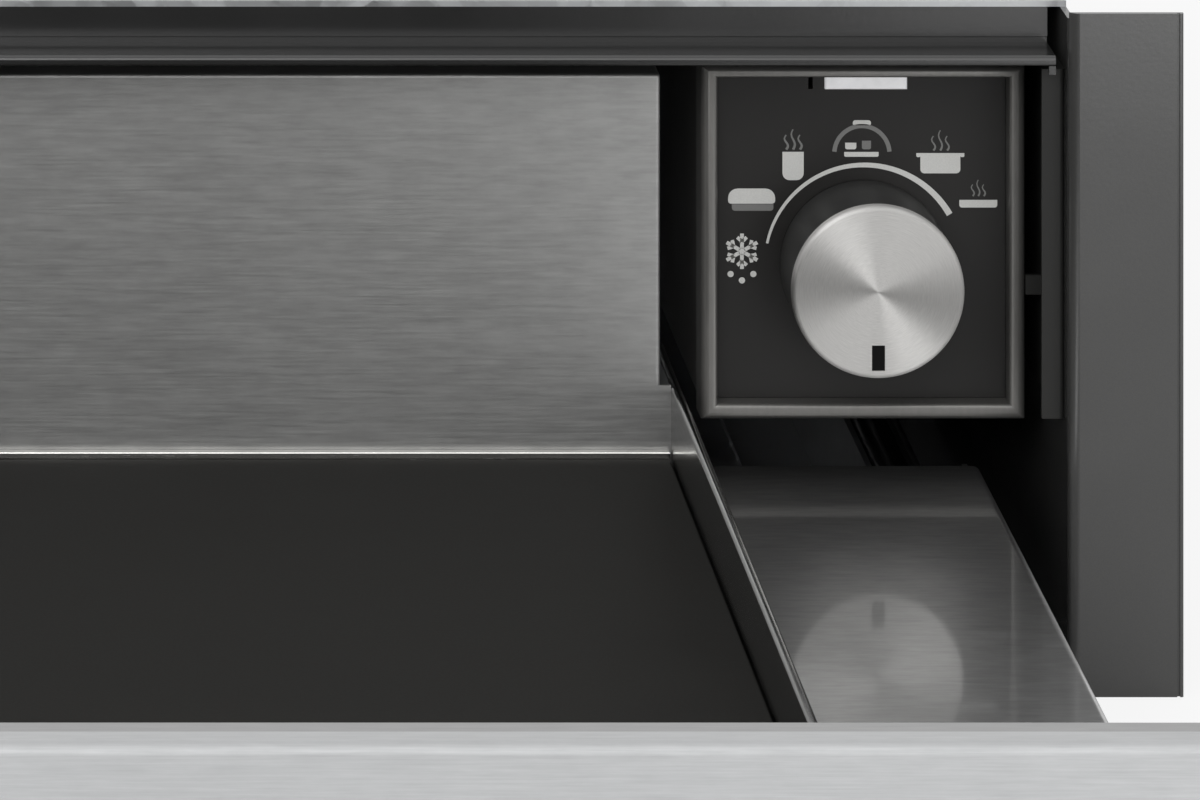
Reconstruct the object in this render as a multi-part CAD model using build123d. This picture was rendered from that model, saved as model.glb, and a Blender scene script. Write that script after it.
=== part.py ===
from build123d import *
import os

# Built-in warming drawer, shown pulled open.
# X to the right, Y to the rear, Z up. The origin lies under the middle of the housing,
# in the niche front plane, on the underside of the base plate. All lengths in mm.

# ---------------------------------------------------------------- housing
CLEAR_WIDTH = 550.6        # between the two side panels
HOUSING_HEIGHT = 133.0
HOUSING_DEPTH = 540.0      # niche front plane to the back of the rear panel
SHEET = 1.2                # housing sheet steel
FLANGE_WIDTH = 22.4        # front flange, from the clear opening outwards
FLANGE_CREASE = 0.6        # pressed line along the flange's outer edge
CREASE_INSET = 0.7
CREASE_SINK = 0.5
FLANGE_BEND = 2.2          # outer radius of the bend at the flange
RETURN_WIDTH = 13.0        # folds at the foot and the head of a side panel
RETURN_START = 25.0        # where those folds begin, behind the niche front plane
REAR_LEG = 12.0            # folds at the sides of the rear panel
FIT = 0.1                  # clearance between pieces that lie side by side

# Pressed ribs of the base plate
RIB_COUNT = 4
RIB_PITCH = 112.0
RIB_LENGTH = 400.0
RIB_WIDTH = 18.0
RIB_RISE = 3.0

# Rail across the top of the opening
RAIL_DROP = 8.3            # ledge top below the housing top
RAIL_LEDGE = 10.7          # ledge depth in front of the web
RAIL_LIP = 1.9             # height of the hem along the front of the ledge
RAIL_CREASE = 1.0          # set-back at the foot of the web, above the ledge
RAIL_CREASE_SINK = 0.7
RAIL_FOOT = 14.5           # fold under the top cover
RAIL_END_GAP = 2.5         # to the side panel
RAIL_TAB_WIDTH = 4.3
RAIL_TAB_DROP = 3.7

# Ventilation slots in the rear panel
VENT_COUNT = 14
VENT_PITCH = 9.0
VENT_WIDTH = 3.5
VENT_HEIGHT = 34.0
VENT_CENTRE_X = 130.0
VENT_CENTRE_Z = 96.0

# Holes that fix the housing to the side walls of the niche
MOUNT_HOLE = 5.2
MOUNT_Y = 12.0
MOUNT_LOW_Z = 60.0
MOUNT_SPACING = 48.0

# ---------------------------------------------------------------- drawer
REAR_ROOM = 85.0           # behind the shut compartment, for the latch and the terminals
TRAVEL_REST = 20.0         # compartment depth that stays inside the housing when open
FRONT_OVERHANG = 22.5      # front beyond the clear opening, at each side
FRONT_BOTTOM = 1.0
FRONT_TOP = 140.0
SKIN_DEPTH = 5.6           # outer steel skin
RIM_DEPTH = 5.4            # rim of the liner, seen behind the skin
RIM_INSET = 0.3            # rim inside the skin's outline
RIM_BEND = 0.6             # outer radius of the rim's rear edge
FRONT_SHEET = 1.0
FRONT_EDGE = 1.6           # rounded front edges of the skin
LINER_DEPTH = 8.4          # pressed inner panel behind the skin
LINER_GAP = 3.0            # shut, from the liner to the niche front plane
LINER_INSET_SIDE = 9.0
LINER_INSET_TOP = 6.5
LINER_INSET_FOOT = 7.0
LINER_SHEET = 0.8
LINER_CORNER = 5.0
LINER_EDGE = 1.5           # rounded rear edge of its raised field
BUMPER_DIAMETER = 8.0
BUMPER_INSET = 5.7         # bumper centre to the side of the liner
BUMPER_LOW = 17.0          # bumper centre above the foot of the liner
BUMPER_HIGH = 21.5         # bumper centre below the head of the liner
BUMPER_GAP = 0.3           # to the flange when shut

SIDE_SPACE = 7.3           # left side panel to the compartment
CONTROL_SPACE = 75.3       # compartment to the right side panel, beside the controls
COMPARTMENT_DEPTH = HOUSING_DEPTH - REAR_ROOM + LINER_GAP
TRAVEL = COMPARTMENT_DEPTH - TRAVEL_REST           # from shut to the open stop
DRAWER_SHEET = 1.0
WALL = 2.0                 # folded double side wall
WALL_TOP = 55.5
WALL_TAIL = 30.0           # side wall behind the front of the rear wall
WALL_TAIL_CUT = 6.0        # tail clear of the floor plate's rear fold
REAR_WALL_TOP = 116.8
REAR_WALL_FOLD = 14.0
REAR_WALL_BEND = 0.8       # outer radius of its folds
REAR_WALL_INSET = 2.1      # right edge, left of the side wall above its top
REAR_WALL_LAP = 3.0        # ear behind the foot of that edge
GLASS = 4.0
GLASS_TOP = 41.5
GLASS_FIT = 0.3
TRIM_RISE = 1.4            # rear glass trim above the glass
TRIM_DEPTH = 1.6
TRAY_TOP = 39.3
TRAY_FOLD = 8.0            # down fold at the rear of the tray
TRAY_TAIL = 1.2            # tray behind the front of the rear wall
FLOOR_TAIL = 21.0          # floor plate behind the front of the rear wall
FOLD_GAP = 6.0             # rear fold of the floor plate to a runner
CARRIER_FLANGE = 16.0       # fold under the floor plate
SKIRT_FOOT = 3.0           # lowest edge of the skirts
SKIRT_BEND = 1.8           # outer radius of folds in the drawer's sheet
TRAY_BEND = 1.6
REAR_FOLD_LAP = 6.0        # rear fold of the floor plate, below the latch axis
BRACKET_LEG = 60.0         # bracket between the front and the outside of a skirt
BRACKET_WING = 13.4
BRACKET_SHEET = 2.0
BRACKET_FOOT = 5.0
BRACKET_HEAD_GAP = 1.0     # bracket to the floor plate's lap
BRACKET_SCREW_X = 7.6      # screw to the outside of the skirt
BRACKET_SCREW_ZS = (13.0, 27.0)

# Heater under the floor plate
HEATER_MARGIN = 36.0
HEATER_THICKNESS = 1.5
INSULATION = 10.0
INSULATION_INSET = 4.0     # board inside the mat's outline
HEATER_CORNER = 8.0
HEATER_COVER_MARGIN = 2.0  # cover outside the mat's outline
HEATER_COVER_RIM = 8.0
HEATER_COVER_BEND = 2.0
LIMITER_DIAMETER = 18.0
LIMITER_HEIGHT = 9.0
LIMITER_INSET = 60.0       # centre to the rear edge of the mat
LIMITER_CLEAR = 1.0
TAG_THICKNESS = 0.8        # solder and plug tags
LIMITER_TAG_PITCH = 10.0
LIMITER_TAG = 6.0

# ---------------------------------------------------------------- runners
SKIRT_GAP = 14.3           # side panel to skirt
RUNNER_SPACE = 14.3        # inside of a skirt to the runner's bracket
RUNNER_HEIGHT = 24.0
RUNNER_FOOT = 2.5
RUNNER_SHEET = 1.2
BALL_DIAMETER = 3.0
BALL_PLAY = 0.05
BALLS_PER_ROW = 5
OUTER_START = 30.0
OUTER_REAR_GAP = 52.0      # rail end to the back of the housing
OUTER_LENGTH = HOUSING_DEPTH - OUTER_START - OUTER_REAR_GAP
MIDDLE_START = OUTER_START + 2.0
MIDDLE_SHORTER = 20.0      # than the outer rail
MIDDLE_LENGTH = OUTER_LENGTH - MIDDLE_SHORTER
INNER_START = 4.0
INNER_SHORTER = 12.0       # than the outer rail
INNER_LENGTH = OUTER_LENGTH - INNER_SHORTER
CAGE_START = 145.0         # shut
CAGE_LENGTH = 190.0
RUNNER_FEET = 16.0         # foot of the bracket that stands on the base plate
CAGE_END_MARGIN = 12.0     # cage end to its first ball
RIVET_END_MARGIN = 30.0    # member end to its first rivet
RIVETS_PER_MEMBER = 4
CAGE_SHEET = 0.6
CAGE_PLAY = 0.3
RIVET_DIAMETER = 5.0
RIVET_HEAD = 9.0
RIVET_HEAD_HEIGHT = 1.4
RIVET_CLEARANCE = 1.0      # hole around a rivet head, beyond its rim

# ---------------------------------------------------------------- control panel
BEZEL_GAP = 4.9            # to the right side panel
BEZEL_WIDTH = 63.9
BEZEL_FOOT = 47.4
BEZEL_HEIGHT = 68.4
BEZEL_FRONT_Y = 21.0
BEZEL_DEPTH = 9.0
BEZEL_BORDER = 3.2
BEZEL_TOP_BORDER = 0.9
BEZEL_CHAMFER = 0.7
PANEL_RECESS = 4.5
PANEL_THICKNESS = 2.5
MODULE_DEPTH = 150.0
MODULE_WALL = 1.5
MODULE_INSET = 1.0
HANGER_EAR = 8.0           # fold of the hanger under the top cover
HANGER_FRONT_GAP = 10.0    # module front to the hanger
HANGER_REAR_GAP = 20.0
AIR_SLOT_START = 60.0      # first air slot behind the module front
AIR_SLOT_END = 20.0        # last air slot before the module's rear
AIR_SLOT_COUNT = 8
AIR_SLOT_WIDTH = 3.0
AIR_SLOT_MARGIN = 12.0     # slot end to the module's side
BOARD_START = 40.0         # board behind the module front
BOARD_END = 10.0
BOARD_GAP = 8.0            # board to the housing's side wall
BOARD_THICKNESS = 1.6
BOARD_HEAD_GAP = 4.0
RELAY_COUNT = 3
RELAY_LENGTH = 20.0
RELAY_DEPTH = 15.4
RELAY_HEIGHT = 16.0
RELAY_FOOT = 12.0          # above the housing's floor
RELAY_START = 5.0          # first relay from the board's end
PLUG_DEPTH = 10.4
PLUG_HEIGHT = 10.0
PLUG_HEAD_GAP = 12.0
STRIP_WIDTH = 4.4
STRIP_Y = 4.0
STRIP_FOOT_Z = 52.7
STRIP_LEG = 60.0
STRIP_TAB_Z = 73.9
STRIP_TAB_HEIGHT = 3.8

KNOB_ACROSS = 32.6         # knob axis from the left edge of the bezel
KNOB_RISE = 29.7           # knob axis above the foot of the bezel
KNOB_DIAMETER = 33.8
KNOB_HEIGHT = 20.8         # panel face to knob face
KNOB_GAP = 0.6             # knob body to panel face
KNOB_FACE = 0.9            # sheet of the metal cap
KNOB_RIM = 1.9             # depth of the cap's rim
KNOB_EDGE = 0.5
KNOB_STEP = 0.25           # body inside the cap's outline
KNOB_WALL = 1.8            # wall of the moulded body
KNOB_HUB = 12.0
KNOB_RIBS = 3              # ribs across the body
KNOB_RIB_DEPTH = 10.0
KNOB_RIB = 1.2
MARKER_WIDTH = 2.5
MARKER_LENGTH = 4.9
MARKER_OFFSET = 12.8
MARKER_SINK = 0.2
MARKER_FIT = 0.02          # press fit of the mark, and of the body in the cap
SHAFT_DIAMETER = 6.0
SHAFT_FLAT = 1.5
SHAFT_PLAY = 0.05
BUSHING_DIAMETER = 9.0
SWITCH_SIZE = 30.0
SWITCH_DEPTH = 18.0
SWITCH_CORNER = 4.0
SWITCH_REAR = 3.0          # wall behind the shaft's bore
SHAFT_END_GAP = 1.0
SWITCH_TAGS = 3
SWITCH_TAG_PITCH = 8.0
SWITCH_TAG_WIDTH = 6.0
SWITCH_TAG_LENGTH = 8.0
BUSHING_PROUD = 1.0        # bushing in front of its nut
NUT_ACROSS = 12.0
NUT_HEIGHT = 2.2
NUT_GAP = 0.5              # hub of the knob to the switch bushing

LENS_ACROSS = 24.9         # lens from the left edge of the bezel
LENS_WIDTH = 16.2
LENS_HEIGHT = 2.75
LENS_TOP_GAP = 0.5         # lens top below the clear height of the panel
LENS_PROUD = 0.4
LENS_DEPTH = 3.4
LENS_COLLAR = 1.0          # rim of the lens behind the panel
LAMP_DEPTH = 1.4
LAMP_DROP = 2.0            # lamp below the foot of the lens
SLIT_WIDTH = 0.9           # narrow slit in the panel beside the lens
SLIT_GAP = 2.4             # slit to lens

# ---------------------------------------------------------------- rear fittings
GLAND_X = -215.0
GLAND_Z = 30.0
GLAND_BORE = 8.2
GLAND_THREAD = 16.0
GLAND_NUT = 22.0           # across flats
GLAND_NUT_HEIGHT = 5.0
GLAND_INSIDE = 4.0         # thread beyond the locknut
GLAND_DOME = 10.0
GLAND_DOME_DIAMETER = 20.0
GLAND_DOME_EDGE = 4.0
TERMINAL_WIDTH = 46.0
TERMINAL_DEPTH = 30.0
TERMINAL_HEIGHT = 24.0
TERMINAL_GAP = 8.0         # to the rear panel
TERMINAL_SIDE_GAP = 30.0   # gland axis to the terminals
TERMINAL_COUNT = 3
TERMINAL_COVER = 1.9       # wall of the lid
TERMINAL_LID = 16.8        # depth of the lid
TERMINAL_WELL = 8.0        # screw well
TERMINAL_WELL_DEPTH = 6.0
TERMINAL_INLET = 6.0       # wire hole
TERMINAL_INLET_DEPTH = 8.0
TERMINAL_INLET_RISE = 7.0  # above the terminals' foot
LATCH_Z = 30.0
LATCH_BODY = 18.0
LATCH_LENGTH = 34.0
LATCH_STROKE = 5.0
LATCH_NOSE = 3.0           # plunger in front of the collar, pushed in
LATCH_COLLAR = 4.0
LATCH_COLLAR_STEP = 2.0    # collar inside the square body
LATCH_CORNER = 2.0
LATCH_FLOOR = 3.0          # wall behind the plunger
LATCH_END_GAP = 2.0        # plunger to that wall, pushed in
LATCH_FEET = 14.0          # feet of the bracket on the base plate
LATCH_BRACKET_INSET = 6.0  # bracket behind the front of the collar
PLUNGER_NOSE = 2.0         # rounding of its tip
PLUNGER_DIAMETER = 8.0
PLUNGER_PLAY = 0.08
PLUNGER_GAP = 0.3

# Screws
SCREW_SHANK = 3.5
SCREW_LENGTH = 6.0
FLUSH_LENGTH = 2 * SHEET   # flush screws end inside the fold that they hold
FLUSH_FIRST = 40.0         # first flush screw behind the niche front plane
FLUSH_LAST = 30.0          # last one in front of the housing's back
FLUSH_PER_SIDE = 4

# ---------------------------------------------------------------- worked out
INNER_X = CLEAR_WIDTH / 2
OUTER_X = INNER_X + SHEET
SKIRT_X = INNER_X - SKIRT_GAP
RAIL_X = SKIRT_X - DRAWER_SHEET - RUNNER_SPACE     # bracket face that carries the outer rail
FRONT_WIDTH = CLEAR_WIDTH + 2 * FRONT_OVERHANG
COMPARTMENT_LEFT = -INNER_X + SIDE_SPACE
COMPARTMENT_RIGHT = INNER_X - CONTROL_SPACE
GLASS_BED = GLASS_TOP - GLASS
FLOOR_UNDER = GLASS_BED - DRAWER_SHEET
LINER_BACK = -LINER_GAP - TRAVEL
REAR_Y = LINER_BACK + COMPARTMENT_DEPTH          # front of the rear wall, open
SKIN_BACK = LINER_BACK - LINER_DEPTH             # back of the front's outer half
RIM_FRONT = SKIN_BACK - RIM_DEPTH
SKIN_FRONT = RIM_FRONT - SKIN_DEPTH
BEZEL_RIGHT = INNER_X - BEZEL_GAP
BEZEL_LEFT = BEZEL_RIGHT - BEZEL_WIDTH
KNOB_X = BEZEL_LEFT + KNOB_ACROSS
KNOB_Z = BEZEL_FOOT + KNOB_RISE
LENS_LEFT = BEZEL_LEFT + LENS_ACROSS
BEZEL_TOP = BEZEL_FOOT + BEZEL_HEIGHT
PANEL_Y = BEZEL_FRONT_Y + PANEL_RECESS
MODULE_Y = BEZEL_FRONT_Y + BEZEL_DEPTH
RUNNER_Z = RUNNER_FOOT + RUNNER_HEIGHT / 2
BALL_R = BALL_DIAMETER / 2
RACE_R = BALL_R + BALL_PLAY
ROW_U = RACE_R + RUNNER_SHEET                    # ball row to the back of its web
ROW_W = RUNNER_HEIGHT / 2 - ROW_U                # ball row above the runner's middle
LIP_CLEAR = 0.5                                  # between facing lips at a ball
UNDER_COVER = HOUSING_HEIGHT - SHEET


# ---------------------------------------------------------------- helpers
def block(x0, x1, y0, y1, z0, z1):
    """Box between two corners."""
    centre = Pos((x0 + x1) / 2, (y0 + y1) / 2, (z0 + z1) / 2)
    return centre * Box(x1 - x0, y1 - y0, z1 - z0)


def outline(*points):
    """Flat face inside a closed run of straight lines."""
    return make_face(Polyline(*points, close=True))


def rounded(section, radius, *corners):
    """The section with the named corners rounded."""
    for corner in corners:
        nearest = section.vertices().sort_by_distance(Vector(*corner))[0]
        section = fillet(nearest, radius)
    return section


def along_x(section, x0, x1):
    """Extrude a section drawn in (Y, Z) from x0 to x1."""
    return Pos(x0, 0, 0) * extrude(Plane.YZ * section, amount=x1 - x0)


def along_y(section, y0, y1):
    """Extrude a section drawn in (X, Z) from y0 to y1."""
    return Pos(0, y0, 0) * extrude(Plane.XZ * section, amount=y0 - y1)


def along_z(section, z0, z1):
    """Extrude a section drawn in (X, Y) from z0 to z1."""
    return Pos(0, 0, z0) * extrude(section, amount=z1 - z0)


def rod_x(radius, x0, x1, y, z):
    """Cylinder along X."""
    return Pos((x0 + x1) / 2, y, z) * Rot(0, 90, 0) * Cylinder(radius, x1 - x0)


def rod_y(radius, y0, y1, x, z):
    """Cylinder along Y."""
    return Pos(x, (y0 + y1) / 2, z) * Rot(90, 0, 0) * Cylinder(radius, y1 - y0)


def mirrored(shape):
    """The same piece on the other side of the drawer."""
    return mirror(shape, about=Plane.YZ)


def spread(start, end, count):
    """Evenly spaced places from start to end."""
    return [start + (end - start) * i / (count - 1) for i in range(count)]


def save(node, *shapes):
    """Write one node; several solids are kept apart in one group."""
    solids = [solid for shape in shapes for solid in shape.solids()]
    export_step(solids[0] if len(solids) == 1 else Compound(children=solids), f"parts/{node}.step")


# ---------------------------------------------------------------- screws and rivets
def flush_screw(grow=0.0):
    """Countersunk screw pointing down, its flat head level with Z = 0."""
    radius = SCREW_SHANK / 2 + grow
    head = Pos(0, 0, -SHEET / 2) * Cone(radius, radius + SHEET, SHEET)
    return head + Pos(0, 0, -FLUSH_LENGTH / 2) * Cylinder(radius, FLUSH_LENGTH)


def pan_screw():
    """Screw pointing down from Z = 0 with a domed head above it."""
    head = Pos(0, 0, SCREW_SHANK * 0.3) * Cylinder(SCREW_SHANK, SCREW_SHANK * 0.6)
    head = fillet(head.edges().group_by(Axis.Z)[-1], SCREW_SHANK * 0.35)
    return head + Pos(0, 0, -SCREW_LENGTH / 2) * Cylinder(SCREW_SHANK / 2, SCREW_LENGTH)


def flush_places():
    """Screws through the cover and the base plate into the folds of the side panels."""
    x = INNER_X - RETURN_WIDTH / 2
    ys = spread(FLUSH_FIRST, HOUSING_DEPTH - FLUSH_LAST, FLUSH_PER_SIDE)
    top = [Pos(side * x, y, HOUSING_HEIGHT) for side in (-1, 1) for y in ys]
    foot = [Pos(side * x, y, 0) * Rot(180, 0, 0) for side in (-1, 1) for y in ys]
    return top + foot


def rear_places():
    """Screws through the side panels into the folds of the rear panel."""
    y = HOUSING_DEPTH - REAR_LEG / 2
    zs = spread(HOUSING_HEIGHT * 0.2, HOUSING_HEIGHT * 0.8, 3)
    left = [Pos(-OUTER_X, y, z) * Rot(0, -90, 0) for z in zs]
    right = [Pos(OUTER_X, y, z) * Rot(0, 90, 0) for z in zs]
    return left + right


def flush_holes():
    """Countersunk holes for the flush screws."""
    return [place * flush_screw(FIT) for place in flush_places()]


def rear_holes():
    """Plain holes for the rear panel's screws."""
    hole = Cylinder(SCREW_SHANK / 2 + FIT, 4 * SCREW_LENGTH)
    return [place * hole for place in rear_places()]


def rivet(head_x, end_x, y):
    """Rivet along X through a runner web, its head at head_x."""
    towards = 1 if end_x > head_x else -1
    head = rod_x(RIVET_HEAD / 2, min(head_x, head_x - towards * RIVET_HEAD_HEIGHT),
                 max(head_x, head_x - towards * RIVET_HEAD_HEIGHT), y, RUNNER_Z)
    outer = head.edges().filter_by(GeomType.CIRCLE).sort_by(Axis.X)[0 if towards > 0 else -1]
    head = fillet(outer, RIVET_HEAD_HEIGHT * 0.6)
    return head + rod_x(RIVET_DIAMETER / 2, min(head_x, end_x), max(head_x, end_x), y, RUNNER_Z)


def runner_rivet_ys(start, length):
    """Rivets along a runner member."""
    return spread(start + RIVET_END_MARGIN, start + length - RIVET_END_MARGIN, RIVETS_PER_MEMBER)


# ---------------------------------------------------------------- housing
def base_plate():
    """Bottom sheet with pressed-up ribs."""
    plate = block(-OUTER_X, OUTER_X, 0, HOUSING_DEPTH, 0, SHEET)
    plate += block(-INNER_X + FIT, INNER_X - FIT, -SHEET, 0, 0, SHEET)
    middle = HOUSING_DEPTH / 2
    for i in range(RIB_COUNT):
        x = (i - (RIB_COUNT - 1) / 2) * RIB_PITCH
        place = Pos(x, middle, 0) * Rot(0, 0, 90)
        rib = extrude(SlotOverall(RIB_LENGTH, RIB_WIDTH), SHEET + RIB_RISE)
        rib = fillet(rib.edges().group_by(Axis.Z)[-1], SHEET)
        groove = extrude(SlotOverall(RIB_LENGTH - 2 * SHEET, RIB_WIDTH - 2 * SHEET), RIB_RISE)
        plate = plate + place * rib - place * groove
    return plate - flush_holes()


def side_panel():
    """Right side panel: flange turned outwards, folds inwards at foot and head."""
    section = outline((INNER_X, -SHEET), (INNER_X + FLANGE_WIDTH, -SHEET), (INNER_X + FLANGE_WIDTH, 0),
                      (OUTER_X, 0), (OUTER_X, HOUSING_DEPTH), (INNER_X, HOUSING_DEPTH))
    section = rounded(section, FLANGE_BEND, (INNER_X, -SHEET))
    section = rounded(section, FLANGE_BEND - SHEET, (OUTER_X, 0))
    section = rounded(section, SHEET * 0.4, (INNER_X + FLANGE_WIDTH, -SHEET))
    panel = along_z(section, 0, HOUSING_HEIGHT)
    crease = INNER_X + FLANGE_WIDTH - CREASE_INSET
    panel -= block(crease - FLANGE_CREASE, crease, -2 * SHEET, CREASE_SINK - SHEET, -1, HOUSING_HEIGHT + 1)
    panel -= block(INNER_X - 1, OUTER_X + 1, 0, HOUSING_DEPTH, 0, SHEET)
    panel -= block(INNER_X - 1, OUTER_X + 1, 0, HOUSING_DEPTH, UNDER_COVER, HOUSING_HEIGHT)
    fold_end = HOUSING_DEPTH - SHEET - FIT
    panel += block(INNER_X - RETURN_WIDTH, INNER_X, RETURN_START, fold_end, SHEET, 2 * SHEET)
    panel += block(INNER_X - RETURN_WIDTH, INNER_X, RETURN_START, fold_end, UNDER_COVER - SHEET, UNDER_COVER)
    for z in (MOUNT_LOW_Z, MOUNT_LOW_Z + MOUNT_SPACING):
        panel -= rod_x(MOUNT_HOLE / 2, INNER_X - 2, OUTER_X + 2, MOUNT_Y, z)
    return panel - flush_holes() - rear_holes()


def top_cover():
    """Top sheet, from the web of the rail to the rear panel."""
    cover = block(-OUTER_X, OUTER_X, RAIL_LEDGE - SHEET, HOUSING_DEPTH, UNDER_COVER, HOUSING_HEIGHT)
    return cover - flush_holes()


def top_rail():
    """Folded rail: hemmed ledge, web and a fold under the cover."""
    top = HOUSING_HEIGHT - RAIL_DROP
    web = RAIL_LEDGE - SHEET
    section = outline((-SHEET, top), (web, top), (web, UNDER_COVER), (web + RAIL_FOOT, UNDER_COVER),
                      (web + RAIL_FOOT, UNDER_COVER - SHEET), (RAIL_LEDGE, UNDER_COVER - SHEET),
                      (RAIL_LEDGE, top - SHEET), (0, top - SHEET), (0, top - RAIL_LIP),
                      (-SHEET, top - RAIL_LIP))
    section = rounded(section, SHEET * 0.6, (-SHEET, top))
    section = rounded(section, SHEET, (RAIL_LEDGE, top - SHEET))
    end = INNER_X - RAIL_END_GAP
    rail = along_x(section, -end, end)
    rail -= block(-end - 1, end + 1, web - 1, web + RAIL_CREASE_SINK, top, top + RAIL_CREASE)
    tab = block(end - RAIL_TAB_WIDTH, end, -SHEET, 0, top - RAIL_TAB_DROP, top - RAIL_LIP)
    return rail + tab + mirrored(tab)


def rear_panel():
    """Rear sheet with side folds, ventilation slots and the cable hole."""
    back = HOUSING_DEPTH
    inner = INNER_X - SHEET
    section = outline((-INNER_X, back), (INNER_X, back), (INNER_X, back - REAR_LEG),
                      (inner, back - REAR_LEG), (inner, back - SHEET), (-inner, back - SHEET),
                      (-inner, back - REAR_LEG), (-INNER_X, back - REAR_LEG))
    panel = along_z(section, 2 * SHEET, UNDER_COVER - SHEET)
    panel += block(-INNER_X, INNER_X, back - SHEET, back, SHEET, UNDER_COVER)
    slot = Rot(90, 0, 0) * extrude(SlotOverall(VENT_HEIGHT, VENT_WIDTH, rotation=90), 3 * SHEET, both=True)
    for side in (-1, 1):
        for i in range(VENT_COUNT):
            x = side * VENT_CENTRE_X + (i - (VENT_COUNT - 1) / 2) * VENT_PITCH
            panel -= Pos(x, back, VENT_CENTRE_Z) * slot
    panel -= rod_y(GLAND_THREAD / 2 + FIT, back - 3 * SHEET, back + SHEET, GLAND_X, GLAND_Z)
    return panel - rear_holes()


# ---------------------------------------------------------------- control panel
def control_bezel():
    """Frame around the control panel, with chamfered front edges and a thin head."""
    back = BEZEL_FRONT_Y + BEZEL_DEPTH
    frame = block(BEZEL_LEFT, BEZEL_RIGHT, BEZEL_FRONT_Y, back, BEZEL_FOOT, BEZEL_TOP)
    front = frame.edges().group_by(Axis.Y)[0]
    frame = chamfer(front, BEZEL_CHAMFER)
    window = block(BEZEL_LEFT + BEZEL_BORDER, BEZEL_RIGHT - BEZEL_BORDER, BEZEL_FRONT_Y - 1, back + 1,
                   BEZEL_FOOT + BEZEL_BORDER, BEZEL_TOP - BEZEL_TOP_BORDER)
    return frame - window


def lens_top():
    """Height of the top of the indicator lens."""
    return BEZEL_TOP - BEZEL_TOP_BORDER - LENS_TOP_GAP


def control_panel():
    """Black face plate with the shaft hole and the notch of the lens."""
    rim = BEZEL_BORDER + FIT
    plate = block(BEZEL_LEFT + rim, BEZEL_RIGHT - rim, PANEL_Y, PANEL_Y + PANEL_THICKNESS,
                  BEZEL_FOOT + rim, BEZEL_TOP - BEZEL_TOP_BORDER - FIT)
    plate -= rod_y(BUSHING_DIAMETER / 2 + FIT, PANEL_Y - 1, PANEL_Y + PANEL_THICKNESS + 1, KNOB_X, KNOB_Z)
    plate -= block(LENS_LEFT - FIT, LENS_LEFT + LENS_WIDTH + FIT, PANEL_Y - 1, PANEL_Y + PANEL_THICKNESS + 1,
                   lens_top() - LENS_HEIGHT - FIT, BEZEL_TOP)
    slit = LENS_LEFT - SLIT_GAP
    plate -= block(slit - SLIT_WIDTH, slit, PANEL_Y - 1, PANEL_Y + PANEL_THICKNESS + 1,
                   lens_top() - LENS_HEIGHT, lens_top())
    return plate


def indicator_lens():
    """Clear bar that carries the lamp's light through the panel."""
    bar = block(LENS_LEFT, LENS_LEFT + LENS_WIDTH, PANEL_Y - LENS_PROUD, PANEL_Y - LENS_PROUD + LENS_DEPTH,
                lens_top() - LENS_HEIGHT, lens_top())
    front = bar.edges().group_by(Axis.Y)[0]
    bar = fillet(front, LENS_PROUD * 0.9)
    foot = block(LENS_LEFT - LENS_COLLAR, LENS_LEFT + LENS_WIDTH + LENS_COLLAR,
                 PANEL_Y + PANEL_THICKNESS + FIT, PANEL_Y - LENS_PROUD + LENS_DEPTH,
                 lens_top() - LENS_HEIGHT - LENS_COLLAR, lens_top())
    return bar + foot


def indicator_lamp():
    """Flat lamp behind the lens."""
    start = PANEL_Y - LENS_PROUD + LENS_DEPTH
    return block(LENS_LEFT, LENS_LEFT + LENS_WIDTH, start, start + LAMP_DEPTH,
                 lens_top() - LENS_HEIGHT - LAMP_DROP, lens_top())


def module_box():
    """Inner corners of the control housing: x0, x1, z0, z1."""
    return (BEZEL_LEFT + MODULE_INSET, BEZEL_RIGHT - MODULE_INSET,
            BEZEL_FOOT + MODULE_INSET, BEZEL_TOP - MODULE_INSET)


def control_housing():
    """Moulded box behind the bezel, open at the front, with air slots in its floor."""
    x0, x1, z0, z1 = module_box()
    end = MODULE_Y + MODULE_DEPTH
    box = block(x0, x1, MODULE_Y, end, z0, z1)
    box = fillet(box.edges().group_by(Axis.Y)[-1], MODULE_WALL)
    wall = MODULE_WALL
    box -= block(x0 + wall, x1 - wall, MODULE_Y - 1, end - wall, z0 + wall, z1 - wall)
    for y in spread(MODULE_Y + AIR_SLOT_START, end - AIR_SLOT_END, AIR_SLOT_COUNT):
        box -= block(x0 + AIR_SLOT_MARGIN, x1 - AIR_SLOT_MARGIN, y, y + AIR_SLOT_WIDTH,
                     z0 - wall, z0 + 2 * wall)
    return box


def control_hanger():
    """Channel that hangs the control housing from the top cover."""
    x0, x1, z0, z1 = module_box()
    web, foot = z1, UNDER_COVER
    left = x0 + HANGER_EAR
    right = min(x1, INNER_X - RETURN_WIDTH - 1) - HANGER_EAR
    section = outline((x0, foot), (x0, foot - SHEET), (left, foot - SHEET), (left, web),
                      (right, web), (right, foot - SHEET), (right + HANGER_EAR, foot - SHEET),
                      (right + HANGER_EAR, foot),
                      (right - SHEET, foot), (right - SHEET, web + SHEET), (left + SHEET, web + SHEET),
                      (left + SHEET, foot))
    return along_y(section, MODULE_Y + HANGER_FRONT_GAP, MODULE_Y + MODULE_DEPTH - HANGER_REAR_GAP)


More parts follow.
